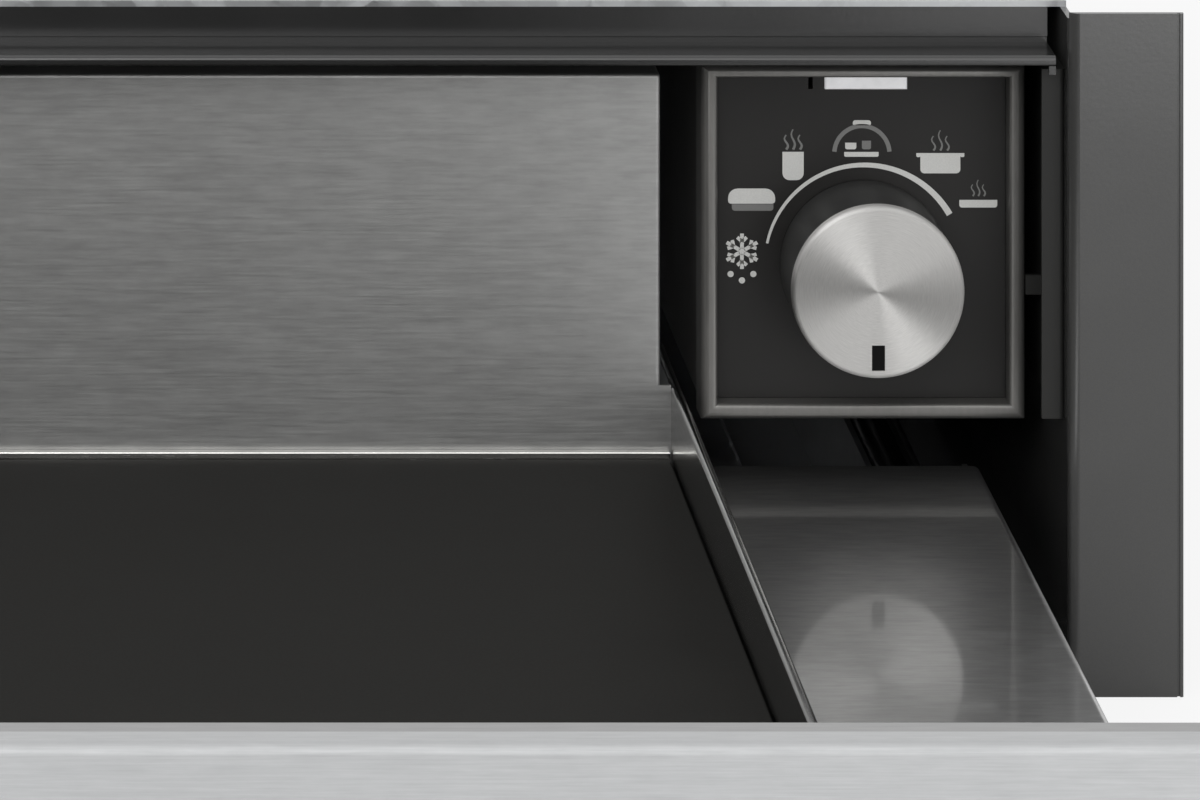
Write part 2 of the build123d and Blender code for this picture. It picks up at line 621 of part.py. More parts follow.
def control_bracket():
    """Angle beside the control panel: narrow front strip, leg on the side panel, small tab."""
    top = HOUSING_HEIGHT - RAIL_DROP - RAIL_TAB_DROP - FIT
    section = outline((INNER_X - STRIP_WIDTH, STRIP_Y), (INNER_X, STRIP_Y), (INNER_X, STRIP_Y + STRIP_LEG),
                      (INNER_X - SHEET, STRIP_Y + STRIP_LEG), (INNER_X - SHEET, STRIP_Y + SHEET),
                      (INNER_X - STRIP_WIDTH, STRIP_Y + SHEET))
    section = rounded(section, SHEET * 0.8, (INNER_X, STRIP_Y))
    angle = along_z(section, STRIP_FOOT_Z, top)
    angle += block(BEZEL_RIGHT + FIT, INNER_X - SHEET, BEZEL_FRONT_Y + 1, BEZEL_FRONT_Y + 1 + SHEET,
                   STRIP_TAB_Z - STRIP_TAB_HEIGHT / 2, STRIP_TAB_Z + STRIP_TAB_HEIGHT / 2)
    for z in (MOUNT_LOW_Z, MOUNT_LOW_Z + MOUNT_SPACING):
        angle -= rod_x(MOUNT_HOLE / 2 + 1, INNER_X - 2 * SHEET, INNER_X + SHEET, MOUNT_Y, z)
    return angle


def bushing_end():
    """Front end of the switch bushing, just in front of its nut."""
    return PANEL_Y - NUT_HEIGHT - BUSHING_PROUD


def rotary_switch():
    """Switch body behind the panel, with the bushing that guides the shaft."""
    back = PANEL_Y + PANEL_THICKNESS
    half = SWITCH_SIZE / 2
    body = block(KNOB_X - half, KNOB_X + half, back, back + SWITCH_DEPTH, KNOB_Z - half, KNOB_Z + half)
    body = fillet(body.edges().filter_by(Axis.Y), SWITCH_CORNER)
    body += rod_y(BUSHING_DIAMETER / 2, bushing_end(), back, KNOB_X, KNOB_Z)
    rear = back + SWITCH_DEPTH
    reach = SWITCH_TAG_PITCH * (SWITCH_TAGS - 1) / 2
    for x in spread(KNOB_X - reach, KNOB_X + reach, SWITCH_TAGS):
        body += block(x - SWITCH_TAG_WIDTH / 2, x + SWITCH_TAG_WIDTH / 2, rear, rear + SWITCH_TAG_LENGTH,
                      KNOB_Z - TAG_THICKNESS / 2, KNOB_Z + TAG_THICKNESS / 2)
    bore = rod_y(SHAFT_DIAMETER / 2 + SHAFT_PLAY, bushing_end() - 1, rear - SWITCH_REAR, KNOB_X, KNOB_Z)
    return body - bore


def switch_nut():
    """Flat hexagon nut that clamps the switch to the panel."""
    nut = extrude(RegularPolygon(NUT_ACROSS / 2, 6, major_radius=False), NUT_HEIGHT)
    nut -= Cylinder(BUSHING_DIAMETER / 2 + FIT, 4 * NUT_HEIGHT)
    return Pos(KNOB_X, PANEL_Y, KNOB_Z) * Rot(90, 0, 0) * nut


def switch_shaft():
    """Shaft with a flat where the knob sits on it."""
    start = PANEL_Y - KNOB_HEIGHT + KNOB_RIM + SHAFT_END_GAP
    flat_end = bushing_end()
    end = PANEL_Y + PANEL_THICKNESS + SWITCH_DEPTH - SWITCH_REAR - SHAFT_END_GAP
    shaft = rod_y(SHAFT_DIAMETER / 2, start, end, KNOB_X, KNOB_Z)
    top = KNOB_Z + SHAFT_DIAMETER / 2
    shaft -= block(KNOB_X - SHAFT_DIAMETER, KNOB_X + SHAFT_DIAMETER, start - 1, flat_end,
                   top - SHAFT_FLAT, top + 1)
    return shaft


def marker_box(grow, sink):
    """Slot for the pointer mark in the knob face, near its rim."""
    front = PANEL_Y - KNOB_HEIGHT
    half_w = MARKER_WIDTH / 2 + grow
    half_l = MARKER_LENGTH / 2 + grow
    z = KNOB_Z - MARKER_OFFSET
    return block(KNOB_X - half_w, KNOB_X + half_w, front + sink, front + KNOB_FACE,
                 z - half_l, z + half_l)


def knob():
    """Pressed aluminium cap on the front of the knob, with a rounded rim."""
    front = PANEL_Y - KNOB_HEIGHT
    cap = rod_y(KNOB_DIAMETER / 2, front, front + KNOB_RIM, KNOB_X, KNOB_Z)
    cap = fillet(cap.edges().group_by(Axis.Y)[0], KNOB_EDGE)
    cap -= rod_y(KNOB_DIAMETER / 2 - KNOB_FACE, front + KNOB_FACE, front + KNOB_RIM + 1, KNOB_X, KNOB_Z)
    return cap - marker_box(MARKER_FIT, -1)


def knob_core():
    """Moulded body of the knob: plug inside the cap, skirt, hub and ribs, with a bore for the shaft."""
    face = PANEL_Y - KNOB_HEIGHT
    seat = face + KNOB_RIM
    back = PANEL_Y - KNOB_GAP
    radius = KNOB_DIAMETER / 2 - KNOB_STEP
    floor = seat + KNOB_WALL
    core = rod_y(radius, seat, back, KNOB_X, KNOB_Z)
    core -= rod_y(radius - KNOB_WALL, floor, back + 1, KNOB_X, KNOB_Z)
    core += rod_y(KNOB_DIAMETER / 2 - KNOB_FACE - MARKER_FIT, face + KNOB_FACE, seat, KNOB_X, KNOB_Z)
    core += rod_y(KNOB_HUB / 2, floor, bushing_end() - NUT_GAP, KNOB_X, KNOB_Z)
    reach = radius - KNOB_WALL / 2
    for angle in range(0, 180, 180 // KNOB_RIBS):
        rib = block(-reach, reach, floor, floor + KNOB_RIB_DEPTH, -KNOB_RIB / 2, KNOB_RIB / 2)
        core += Pos(KNOB_X, 0, KNOB_Z) * Rot(0, angle, 0) * rib
    bore_r = SHAFT_DIAMETER / 2 + SHAFT_PLAY
    bore = rod_y(bore_r, seat + SHAFT_END_GAP - SHAFT_PLAY, back + 1, KNOB_X, KNOB_Z)
    top = KNOB_Z + SHAFT_DIAMETER / 2
    bore -= block(KNOB_X - 2 * bore_r, KNOB_X + 2 * bore_r, seat, back + 2,
                  top - SHAFT_FLAT + SHAFT_PLAY, top + 1)
    return core - bore


def control_board():
    """Circuit board on edge in the control housing, with relays and a plug strip."""
    x0, x1, z0, z1 = module_box()
    wall = MODULE_WALL
    y0 = MODULE_Y + BOARD_START
    y1 = MODULE_Y + MODULE_DEPTH - BOARD_END
    x = x0 + wall + BOARD_GAP
    face = x + BOARD_THICKNESS
    board = block(x, face, y0, y1, z0 + wall, z1 - wall - BOARD_HEAD_GAP)
    foot = z0 + RELAY_FOOT
    relay_ys = spread(y0 + RELAY_START, y1 - RELAY_START - RELAY_LENGTH, RELAY_COUNT)
    relays = [block(face, face + RELAY_DEPTH, y, y + RELAY_LENGTH, foot, foot + RELAY_HEIGHT)
              for y in relay_ys]
    strip = block(face, face + PLUG_DEPTH, y0 + RELAY_START, y1 - RELAY_START,
                  z1 - PLUG_HEAD_GAP - PLUG_HEIGHT, z1 - PLUG_HEAD_GAP)
    return [board] + relays + [strip]


# ---------------------------------------------------------------- rear fittings
def terminal_block():
    """Mains terminals on the base plate."""
    back = HOUSING_DEPTH - SHEET - TERMINAL_GAP
    x0 = GLAND_X + TERMINAL_SIDE_GAP
    x1 = x0 + TERMINAL_WIDTH
    body = block(x0, x1, back - TERMINAL_DEPTH, back, SHEET, SHEET + TERMINAL_HEIGHT)
    for x in spread(x0 + TERMINAL_GAP, x1 - TERMINAL_GAP, TERMINAL_COUNT):
        well = Cylinder(TERMINAL_WELL / 2, 2 * TERMINAL_WELL_DEPTH)
        body -= Pos(x, back - TERMINAL_DEPTH / 2, SHEET + TERMINAL_HEIGHT) * well
        body -= rod_y(TERMINAL_INLET / 2, back - TERMINAL_DEPTH - 1,
                      back - TERMINAL_DEPTH + TERMINAL_INLET_DEPTH, x, SHEET + TERMINAL_INLET_RISE)
    return body


def terminal_cover():
    """Lid over the terminals, open towards the cable."""
    back = HOUSING_DEPTH - SHEET - TERMINAL_GAP
    x0 = GLAND_X + TERMINAL_SIDE_GAP
    x1 = x0 + TERMINAL_WIDTH
    top = SHEET + TERMINAL_HEIGHT
    rim = FIT + TERMINAL_COVER
    lid = block(x0 - rim, x1 + rim, back - TERMINAL_DEPTH - rim, back + rim, top - TERMINAL_LID, top + rim)
    lid -= block(x0 - FIT, x1 + FIT, back - TERMINAL_DEPTH - 2 * rim, back + FIT, 0, top + FIT)
    return lid


def cable_gland():
    """Gland in the rear panel: collar and domed nut outside, locknut inside."""
    back = HOUSING_DEPTH
    inside = back - SHEET - GLAND_NUT_HEIGHT - GLAND_INSIDE
    collar = back + GLAND_NUT_HEIGHT
    end = collar + GLAND_DOME
    body = rod_y(GLAND_THREAD / 2, inside, collar + 1, GLAND_X, GLAND_Z)
    hexagon = extrude(RegularPolygon(GLAND_NUT / 2, 6, major_radius=False), GLAND_NUT_HEIGHT)
    body += Pos(GLAND_X, collar, GLAND_Z) * Rot(90, 0, 0) * hexagon
    dome = rod_y(GLAND_DOME_DIAMETER / 2, collar, end, GLAND_X, GLAND_Z)
    body += fillet(dome.edges().group_by(Axis.Y)[-1], GLAND_DOME_EDGE)
    body -= rod_y(GLAND_BORE / 2, inside - 1, end + 1, GLAND_X, GLAND_Z)
    return body


def gland_locknut():
    """Hexagon locknut inside the rear panel."""
    nut = extrude(RegularPolygon(GLAND_NUT / 2, 6, major_radius=False), GLAND_NUT_HEIGHT)
    nut -= Cylinder(GLAND_THREAD / 2 + FIT, 4 * GLAND_NUT_HEIGHT)
    return Pos(GLAND_X, HOUSING_DEPTH - SHEET, GLAND_Z) * Rot(90, 0, 0) * nut


def plunger_tip_y():
    """Front of the latch plunger, just behind the shut drawer's floor plate."""
    return REAR_Y + TRAVEL + FLOOR_TAIL + PLUNGER_GAP


def latch_start():
    """Front of the latch collar."""
    return plunger_tip_y() + LATCH_STROKE + LATCH_NOSE


def latch_body():
    """Push latch: square body with a collar that guides the plunger."""
    start = latch_start()
    end = start + LATCH_LENGTH
    half = LATCH_BODY / 2
    body = block(-half, half, start + LATCH_COLLAR, end, LATCH_Z - half, LATCH_Z + half)
    body = fillet(body.edges().filter_by(Axis.Y), LATCH_CORNER)
    body += rod_y(half - LATCH_COLLAR_STEP, start, start + LATCH_COLLAR, 0, LATCH_Z)
    return body - rod_y(PLUNGER_DIAMETER / 2 + PLUNGER_PLAY, start - 1, end - LATCH_FLOOR, 0, LATCH_Z)


def latch_plunger():
    """Sliding pin with a rounded nose."""
    end = latch_start() + LATCH_LENGTH - LATCH_FLOOR - LATCH_STROKE - LATCH_END_GAP
    pin = rod_y(PLUNGER_DIAMETER / 2, plunger_tip_y(), end, 0, LATCH_Z)
    return fillet(pin.edges().group_by(Axis.Y)[0], PLUNGER_NOSE)


def latch_bracket():
    """Folded bracket that carries the latch on the base plate."""
    start = latch_start() + LATCH_BRACKET_INSET
    end = latch_start() + LATCH_LENGTH
    half = LATCH_BODY / 2
    foot = half + LATCH_FEET
    head = LATCH_Z - half
    section = outline((-foot, SHEET), (-foot, 2 * SHEET), (-half, 2 * SHEET), (-half, head),
                      (half, head), (half, 2 * SHEET), (foot, 2 * SHEET), (foot, SHEET),
                      (half - SHEET, SHEET), (half - SHEET, head - SHEET), (-half + SHEET, head - SHEET),
                      (-half + SHEET, SHEET))
    return along_y(section, start, end)


# ---------------------------------------------------------------- drawer
def front_skin():
    """Outer steel skin: a shallow tray with rounded front edges, open at the back."""
    half = FRONT_WIDTH / 2
    skin = block(-half, half, SKIN_FRONT, RIM_FRONT, FRONT_BOTTOM, FRONT_TOP)
    skin = fillet(skin.edges().group_by(Axis.Y)[0], FRONT_EDGE)
    sheet = FRONT_SHEET
    return skin - block(-half + sheet, half - sheet, SKIN_FRONT + sheet, RIM_FRONT + 1,
                        FRONT_BOTTOM + sheet, FRONT_TOP - sheet)


def front_core():
    """Insulating board inside the skin and the liner's rim."""
    inset = max(FRONT_SHEET, RIM_INSET + LINER_SHEET) + FIT
    half = FRONT_WIDTH / 2 - inset
    return block(-half, half, SKIN_FRONT + FRONT_SHEET + FIT, SKIN_BACK - LINER_SHEET - FIT,
                 FRONT_BOTTOM + inset, FRONT_TOP - inset)


def front_liner():
    """Pressed inner panel: a rim level with the skin's edges and a raised field inside it."""
    half = FRONT_WIDTH / 2 - LINER_INSET_SIDE
    foot = FRONT_BOTTOM + LINER_INSET_FOOT
    head = FRONT_TOP - LINER_INSET_TOP
    rim_half = FRONT_WIDTH / 2 - RIM_INSET
    rim_foot = FRONT_BOTTOM + RIM_INSET
    rim_head = FRONT_TOP - RIM_INSET
    field = block(-half, half, SKIN_BACK, LINER_BACK, foot, head)
    field = fillet(field.edges().filter_by(Axis.Y), LINER_CORNER)
    field = fillet(field.edges().group_by(Axis.Y)[-1], LINER_EDGE)
    rim = block(-rim_half, rim_half, RIM_FRONT, SKIN_BACK, rim_foot, rim_head)
    rim = fillet(rim.edges().group_by(Axis.Y)[-1], RIM_BEND)
    sheet = LINER_SHEET
    rim -= block(-rim_half + sheet, rim_half - sheet, RIM_FRONT - 1, SKIN_BACK - sheet,
                 rim_foot + sheet, rim_head - sheet)
    return field + rim - block(-half + 2 * sheet, half - 2 * sheet, RIM_FRONT - 1, LINER_BACK - sheet,
                               foot + 2 * sheet, head - 2 * sheet)


def front_bumpers():
    """Four soft buffers that meet the housing flange when the drawer shuts."""
    reach = LINER_GAP - SHEET - BUMPER_GAP
    x = FRONT_WIDTH / 2 - LINER_INSET_SIDE - BUMPER_INSET
    foot = FRONT_BOTTOM + LINER_INSET_FOOT
    head = FRONT_TOP - LINER_INSET_TOP
    buffers = []
    for side in (-1, 1):
        for z in (foot + BUMPER_LOW, head - BUMPER_HIGH):
            buffer = rod_y(BUMPER_DIAMETER / 2, LINER_BACK, LINER_BACK + reach, side * x, z)
            buffers.append(fillet(buffer.edges().group_by(Axis.Y)[-1], reach * 0.4))
    return buffers


def front_bracket():
    """Right angle bracket between the liner and the outside of a skirt."""
    sheet = BRACKET_SHEET
    top = FLOOR_UNDER - DRAWER_SHEET - BRACKET_HEAD_GAP
    section = outline((SKIRT_X + BRACKET_WING, LINER_BACK), (SKIRT_X, LINER_BACK),
                      (SKIRT_X, LINER_BACK + BRACKET_LEG), (SKIRT_X + sheet, LINER_BACK + BRACKET_LEG),
                      (SKIRT_X + sheet, LINER_BACK + sheet), (SKIRT_X + BRACKET_WING, LINER_BACK + sheet))
    section = rounded(section, sheet * 0.4, (SKIRT_X, LINER_BACK))
    bracket = along_z(section, BRACKET_FOOT, top)
    for place in front_screw_places():
        bracket -= place * Cylinder(SCREW_SHANK / 2 + FIT, 20)
    for y in runner_rivet_ys(INNER_START - TRAVEL, INNER_LENGTH):
        bracket -= rod_x(RIVET_HEAD / 2 + RIVET_CLEARANCE, SKIRT_X - 1, SKIRT_X + 2 * sheet, y, RUNNER_Z)
    return bracket


def front_screw_places():
    """Screws from the right bracket into the liner."""
    x = SKIRT_X + BRACKET_SCREW_X
    return [Pos(x, LINER_BACK + BRACKET_SHEET, z) * Rot(-90, 0, 0) for z in BRACKET_SCREW_ZS]


def front_screws():
    """Bracket screws on both sides."""
    right = [place * pan_screw() for place in front_screw_places()]
    return right + [mirrored(screw) for screw in right]


def liner_screw_holes(liner):
    """The liner with the holes of the bracket screws."""
    for place in front_screw_places():
        hole = place * Cylinder(SCREW_SHANK / 2 + FIT, 20)
        liner = liner - hole - mirrored(hole)
    return liner


def skirt_holes(skirt, side):
    """The skirt with its rivet holes."""
    for y in runner_rivet_ys(INNER_START - TRAVEL, INNER_LENGTH):
        x = side * SKIRT_X
        skirt -= rod_x(RIVET_DIAMETER / 2 + BALL_PLAY, x - 4, x + 4, y, RUNNER_Z)
    return skirt


def skirt_end():
    """Rear end of the skirts in Y, open."""
    return REAR_Y + FLOOR_TAIL - 2 * DRAWER_SHEET


def carrier_left():
    """Left skirt: an angle under the floor plate that carries the runner."""
    sheet = DRAWER_SHEET
    head = FLOOR_UNDER
    section = outline((-SKIRT_X, SKIRT_FOOT), (-SKIRT_X, head), (-SKIRT_X + CARRIER_FLANGE, head),
                      (-SKIRT_X + CARRIER_FLANGE, head - sheet), (-SKIRT_X + sheet, head - sheet),
                      (-SKIRT_X + sheet, SKIRT_FOOT))
    section = rounded(section, SKIRT_BEND, (-SKIRT_X, head))
    section = rounded(section, SKIRT_BEND - sheet, (-SKIRT_X + sheet, head - sheet))
    return skirt_holes(along_y(section, LINER_BACK, skirt_end()), -1)


def side_tray():
    """Steel tray right of the compartment; its edge folds down as the right skirt."""
    sheet = DRAWER_SHEET
    wall_out = COMPARTMENT_RIGHT + WALL
    step = FLOOR_UNDER
    inner = COMPARTMENT_RIGHT - CARRIER_FLANGE
    section = outline((inner, step), (wall_out + FIT, step), (wall_out + FIT, TRAY_TOP),
                      (SKIRT_X, TRAY_TOP), (SKIRT_X, SKIRT_FOOT), (SKIRT_X - sheet, SKIRT_FOOT),
                      (SKIRT_X - sheet, TRAY_TOP - sheet), (wall_out + FIT + sheet, TRAY_TOP - sheet),
                      (wall_out + FIT + sheet, step - sheet), (inner, step - sheet))
    section = rounded(section, TRAY_BEND, (SKIRT_X, TRAY_TOP))
    section = rounded(section, TRAY_BEND - sheet, (SKIRT_X - sheet, TRAY_TOP - sheet))
    tray = along_y(section, LINER_BACK, skirt_end())
    tray -= block(wall_out, SKIRT_X + 1, REAR_Y + TRAY_TAIL, skirt_end() + 1, step - sheet - 1, TRAY_TOP + 1)
    tray += block(wall_out + FIT + sheet, SKIRT_X - sheet, REAR_Y + TRAY_TAIL - sheet, REAR_Y + TRAY_TAIL,
                  TRAY_TOP - TRAY_FOLD, TRAY_TOP - sheet)
    return skirt_holes(tray, 1)


def floor_plate():
    """Steel floor under the glass, folded down at the rear."""
    left = COMPARTMENT_LEFT - WALL
    right = COMPARTMENT_RIGHT + WALL
    end = REAR_Y + FLOOR_TAIL
    sheet = DRAWER_SHEET
    foot = LATCH_Z - REAR_FOLD_LAP
    section = outline((LINER_BACK, GLASS_BED), (end, GLASS_BED), (end, foot),
                      (end - sheet, foot), (end - sheet, FLOOR_UNDER), (LINER_BACK, FLOOR_UNDER))
    section = rounded(section, SKIRT_BEND, (end, GLASS_BED))
    section = rounded(section, SKIRT_BEND - sheet, (end - sheet, FLOOR_UNDER))
    plate = along_x(section, left, right)
    return plate - block(left - 1, -RAIL_X + FOLD_GAP, end - 3 * sheet, end + sheet, 0, FLOOR_UNDER)


def glass_plate():
    """Heated glass plate that makes the floor of the compartment."""
    plate = block(COMPARTMENT_LEFT + GLASS_FIT, COMPARTMENT_RIGHT - GLASS_FIT, LINER_BACK + GLASS_FIT,
                  REAR_Y - TRIM_DEPTH - FIT, GLASS_BED, GLASS_TOP)
    return chamfer(plate.edges().group_by(Axis.Z)[-1], 0.4)


def glass_trim():
    """Bright strip between the glass and the rear wall."""
    strip = block(COMPARTMENT_LEFT + GLASS_FIT, COMPARTMENT_RIGHT - GLASS_FIT, REAR_Y - TRIM_DEPTH,
                  REAR_Y, GLASS_BED, GLASS_TOP + TRIM_RISE)
    return fillet(strip.edges().group_by(Axis.Z)[-1], 0.4)


def side_wall(inner_x, outer_x):
    """Folded double wall with a rolled top."""
    x0, x1 = min(inner_x, outer_x), max(inner_x, outer_x)
    wall = block(x0, x1, LINER_BACK, REAR_Y + WALL_TAIL, GLASS_BED, WALL_TOP)
    top = wall.edges().filter_by(Axis.Y).group_by(Axis.Z)[-1]
    wall = fillet(top, WALL * 0.45)
    return wall - block(x0 - 1, x1 + 1, REAR_Y + FLOOR_TAIL - WALL, REAR_Y + WALL_TAIL + 1,
                        GLASS_BED - 1, GLASS_BED + WALL_TAIL_CUT)


def rear_wall():
    """High rear wall with soft folds to the rear at its head and sides."""
    left = COMPARTMENT_LEFT
    right = COMPARTMENT_RIGHT - REAR_WALL_INSET
    back = REAR_Y + REAR_WALL_FOLD
    wall = block(left, right, REAR_Y, back, GLASS_BED, REAR_WALL_TOP)
    head = wall.edges().filter_by(Axis.X).group_by(Axis.Z)[-1].sort_by(Axis.Y)[0]
    wall = fillet(head, REAR_WALL_BEND)
    side = wall.edges().filter_by(Axis.Z).sort_by(Axis.X)[-2:].sort_by(Axis.Y)[0]
    wall = fillet(side, REAR_WALL_BEND)
    side = wall.edges().filter_by(Axis.Z).sort_by(Axis.X)[:2].sort_by(Axis.Y)[0]
    wall = fillet(side, REAR_WALL_BEND)
    sheet = DRAWER_SHEET
    wall -= block(left + sheet, right - sheet, REAR_Y + sheet, back + 1, GLASS_BED - 1,
                  REAR_WALL_TOP - sheet)
    ear = block(right - REAR_WALL_LAP, COMPARTMENT_RIGHT, REAR_Y, REAR_Y + sheet, GLASS_BED, WALL_TOP)
    return wall + ear


def heater_span():
    """Corners of the heating mat: x0, x1, y0, y1."""
    return (COMPARTMENT_LEFT + HEATER_MARGIN, COMPARTMENT_RIGHT - HEATER_MARGIN,
            LINER_BACK + HEATER_MARGIN, REAR_Y - HEATER_MARGIN)


def heating_mat():
    """Flat element bonded under the floor plate."""
    x0, x1, y0, y1 = heater_span()
    mat = block(x0, x1, y0, y1, FLOOR_UNDER - HEATER_THICKNESS, FLOOR_UNDER)
    return fillet(mat.edges().filter_by(Axis.Z), HEATER_CORNER)


def heater_insulation():
    """Insulating board under the heating mat, with a hole for the limiter."""
    x0, x1, y0, y1 = heater_span()
    top = FLOOR_UNDER - HEATER_THICKNESS - FIT
    inset = INSULATION_INSET
    board = block(x0 + inset, x1 - inset, y0 + inset, y1 - inset, top - INSULATION, top)
    x, y = limiter_place()
    return board - Pos(x, y, top) * Cylinder(LIMITER_DIAMETER / 2 + LIMITER_CLEAR, 4 * INSULATION)


def limiter_place():
    """Centre of the temperature limiter in X and Y."""
    x0, x1, y0, y1 = heater_span()
    return (x0 + x1) / 2, y1 - LIMITER_INSET


def temperature_limiter():
    """Round snap limiter with two tags."""
    x, y = limiter_place()
    top = FLOOR_UNDER - HEATER_THICKNESS
    cap = Pos(x, y, top - LIMITER_HEIGHT / 2) * Cylinder(LIMITER_DIAMETER / 2, LIMITER_HEIGHT)
    foot = top - LIMITER_HEIGHT
    for side in (-1, 1):
        middle = x + side * LIMITER_TAG_PITCH / 2
        cap += block(middle - TAG_THICKNESS / 2, middle + TAG_THICKNESS / 2,
                     y - LIMITER_TAG / 2, y + LIMITER_TAG / 2, foot - LIMITER_TAG, foot)
    return cap


def heater_cover():
    """Shallow tray that holds the insulation against the floor plate."""
    x0, x1, y0, y1 = heater_span()
    foot = FLOOR_UNDER - HEATER_THICKNESS - 2 * FIT - INSULATION - DRAWER_SHEET
    sheet = DRAWER_SHEET
    out = HEATER_COVER_MARGIN
    tray = block(x0 - out, x1 + out, y0 - out, y1 + out, foot, FLOOR_UNDER)
    tray = fillet(tray.edges().filter_by(Axis.Z), HEATER_CORNER)
    tray = fillet(tray.edges().group_by(Axis.Z)[0], HEATER_COVER_BEND)
    far = out + HEATER_COVER_RIM
    rim = block(x0 - far, x1 + far, y0 - far, y1 + far, FLOOR_UNDER - sheet, FLOOR_UNDER)
    room = out - sheet
    hollow = block(x0 - room, x1 + room, y0 - room, y1 + room, foot + sheet, FLOOR_UNDER + 1)
    x, y = limiter_place()
    window = Pos(x, y, foot) * Cylinder(LIMITER_DIAMETER / 2 + LIMITER_CLEAR, 6 * sheet)
    return tray + rim - hollow - window


# ---------------------------------------------------------------- runners
# A runner is drawn in (u, w) on the right side: u from its bracket to the skirt, w up from its middle.
def ball_lip(u, w, upper):
    """Half ring of sheet that wraps one side of a ball row."""
    ring = Circle(RACE_R + RUNNER_SHEET) - Circle(RACE_R)
    size = 4 * ROW_U
    shift = size / 2 if upper else -size / 2
    return Pos(u, w) * (ring & (Pos(0, shift) * Rectangle(size, size)))


def rail_section():
    """C-section whose curled lips hold a ball row at head and foot; web at u = 0."""
    section = Pos(RUNNER_SHEET / 2, 0) * Rectangle(RUNNER_SHEET, 2 * ROW_W)
    section += ball_lip(ROW_U, ROW_W, True)
    section += ball_lip(ROW_U, -ROW_W, False)
    trim = Rectangle(2 * ROW_U, LIP_CLEAR, align=(Align.MIN, Align.CENTER))
    for w in (ROW_W, -ROW_W):
        section -= Pos(ROW_U, w) * trim
    return section


def middle_section():
    """Two channels back to back; each holds the inner side of the ball rows of one rail."""
    mid = RUNNER_SPACE / 2
    far = RUNNER_SPACE - ROW_U
    flange_w = ROW_W - RACE_R - RUNNER_SHEET / 2
    section = Pos(mid, 0) * Rectangle(2 * RUNNER_SHEET, 2 * ROW_W - 2 * RACE_R)
    for sign in (-1, 1):
        section += Pos(mid, sign * flange_w) * Rectangle(far - ROW_U, RUNNER_SHEET)
        for u in (ROW_U, far):
            section += ball_lip(u, sign * ROW_W, sign < 0)
    trim = Rectangle(RUNNER_SPACE, LIP_CLEAR)
    for w in (ROW_W, -ROW_W):
        section -= Pos(mid, w) * trim
    web_room = RUNNER_SHEET + CAGE_SHEET + 2 * CAGE_PLAY
    for u in (0, RUNNER_SPACE):
        section -= Pos(u, 0) * Rectangle(2 * web_room, 2 * RUNNER_HEIGHT)
    return section


def placed(section, y0, y1):
    """A runner section set beside the right bracket."""
    return along_y(Pos(RAIL_X, RUNNER_Z) * section, y0, y1)


def facing(section):
    """The same section turned towards the drawer's skirt."""
    return Pos(RUNNER_SPACE, 0) * mirror(section, about=Plane.YZ)


def runner_brackets():
    """Angles on the base plate that carry the outer rails."""
    section = outline((RAIL_X, SHEET), (RAIL_X, RUNNER_FOOT + RUNNER_HEIGHT),
                      (RAIL_X - SHEET, RUNNER_FOOT + RUNNER_HEIGHT), (RAIL_X - SHEET, 2 * SHEET),
                      (RAIL_X - RUNNER_FEET, 2 * SHEET), (RAIL_X - RUNNER_FEET, SHEET))
    section = rounded(section, SHEET * 0.8, (RAIL_X, SHEET))
    angle = along_y(section, OUTER_START, OUTER_START + OUTER_LENGTH)
    for y in runner_rivet_ys(OUTER_START, OUTER_LENGTH):
        angle -= rod_x(RIVET_DIAMETER / 2 + BALL_PLAY, RAIL_X - 2 * SHEET, RAIL_X + SHEET, y, RUNNER_Z)
    return [angle, mirrored(angle)]


def runner_outer():
    """Right rail on its bracket."""
    rail = placed(rail_section(), OUTER_START, OUTER_START + OUTER_LENGTH)
    for y in runner_rivet_ys(OUTER_START, OUTER_LENGTH):
        rail -= rod_x(RIVET_DIAMETER / 2 + BALL_PLAY, RAIL_X - 1, RAIL_X + 2 * RUNNER_SHEET, y, RUNNER_Z)
    return rail


def runner_middle():
    """Right middle member, half way out."""
    start = MIDDLE_START - TRAVEL / 2
    return placed(middle_section(), start, start + MIDDLE_LENGTH)


def runner_inner():
    """Right rail on the inside of the drawer's skirt."""
    start = INNER_START - TRAVEL
    rail = placed(facing(rail_section()), start, start + INNER_LENGTH)
    web = SKIRT_X - DRAWER_SHEET
    for y in runner_rivet_ys(start, INNER_LENGTH):
        rail -= rod_x(RIVET_DIAMETER / 2 + BALL_PLAY, web - 2 * RUNNER_SHEET, web + 1, y, RUNNER_Z)
    return rail


def ball_cage(inner):
    """Notched strip with its balls; the inner one rolls on the drawer's rail."""
    start = CAGE_START - TRAVEL * (0.75 if inner else 0.25)
    strip_u = RUNNER_SHEET + CAGE_PLAY + CAGE_SHEET / 2
    row_u = ROW_U
    if inner:
        strip_u = RUNNER_SPACE - strip_u
        row_u = RUNNER_SPACE - row_u
    height = 2 * (ROW_W + BALL_R / 2)
    strip = placed(Pos(strip_u, 0) * Rectangle(CAGE_SHEET, height), start, start + CAGE_LENGTH)
    balls = []
    for y in spread(start + CAGE_END_MARGIN, start + CAGE_LENGTH - CAGE_END_MARGIN, BALLS_PER_ROW):
        for w in (ROW_W, -ROW_W):
            centre = Pos(RAIL_X + row_u, y, RUNNER_Z + w)
            strip -= centre * Rot(0, 90, 0) * Cylinder(BALL_R + BALL_PLAY, 3 * BALL_R)
            balls.append(centre * Sphere(BALL_R))
    return [strip] + balls


def side_rivets():
    """Rivets of the right outer rail, heads on the inner side of its bracket."""
    return [rivet(RAIL_X - SHEET, RAIL_X + RUNNER_SHEET, y)
            for y in runner_rivet_ys(OUTER_START, OUTER_LENGTH)]


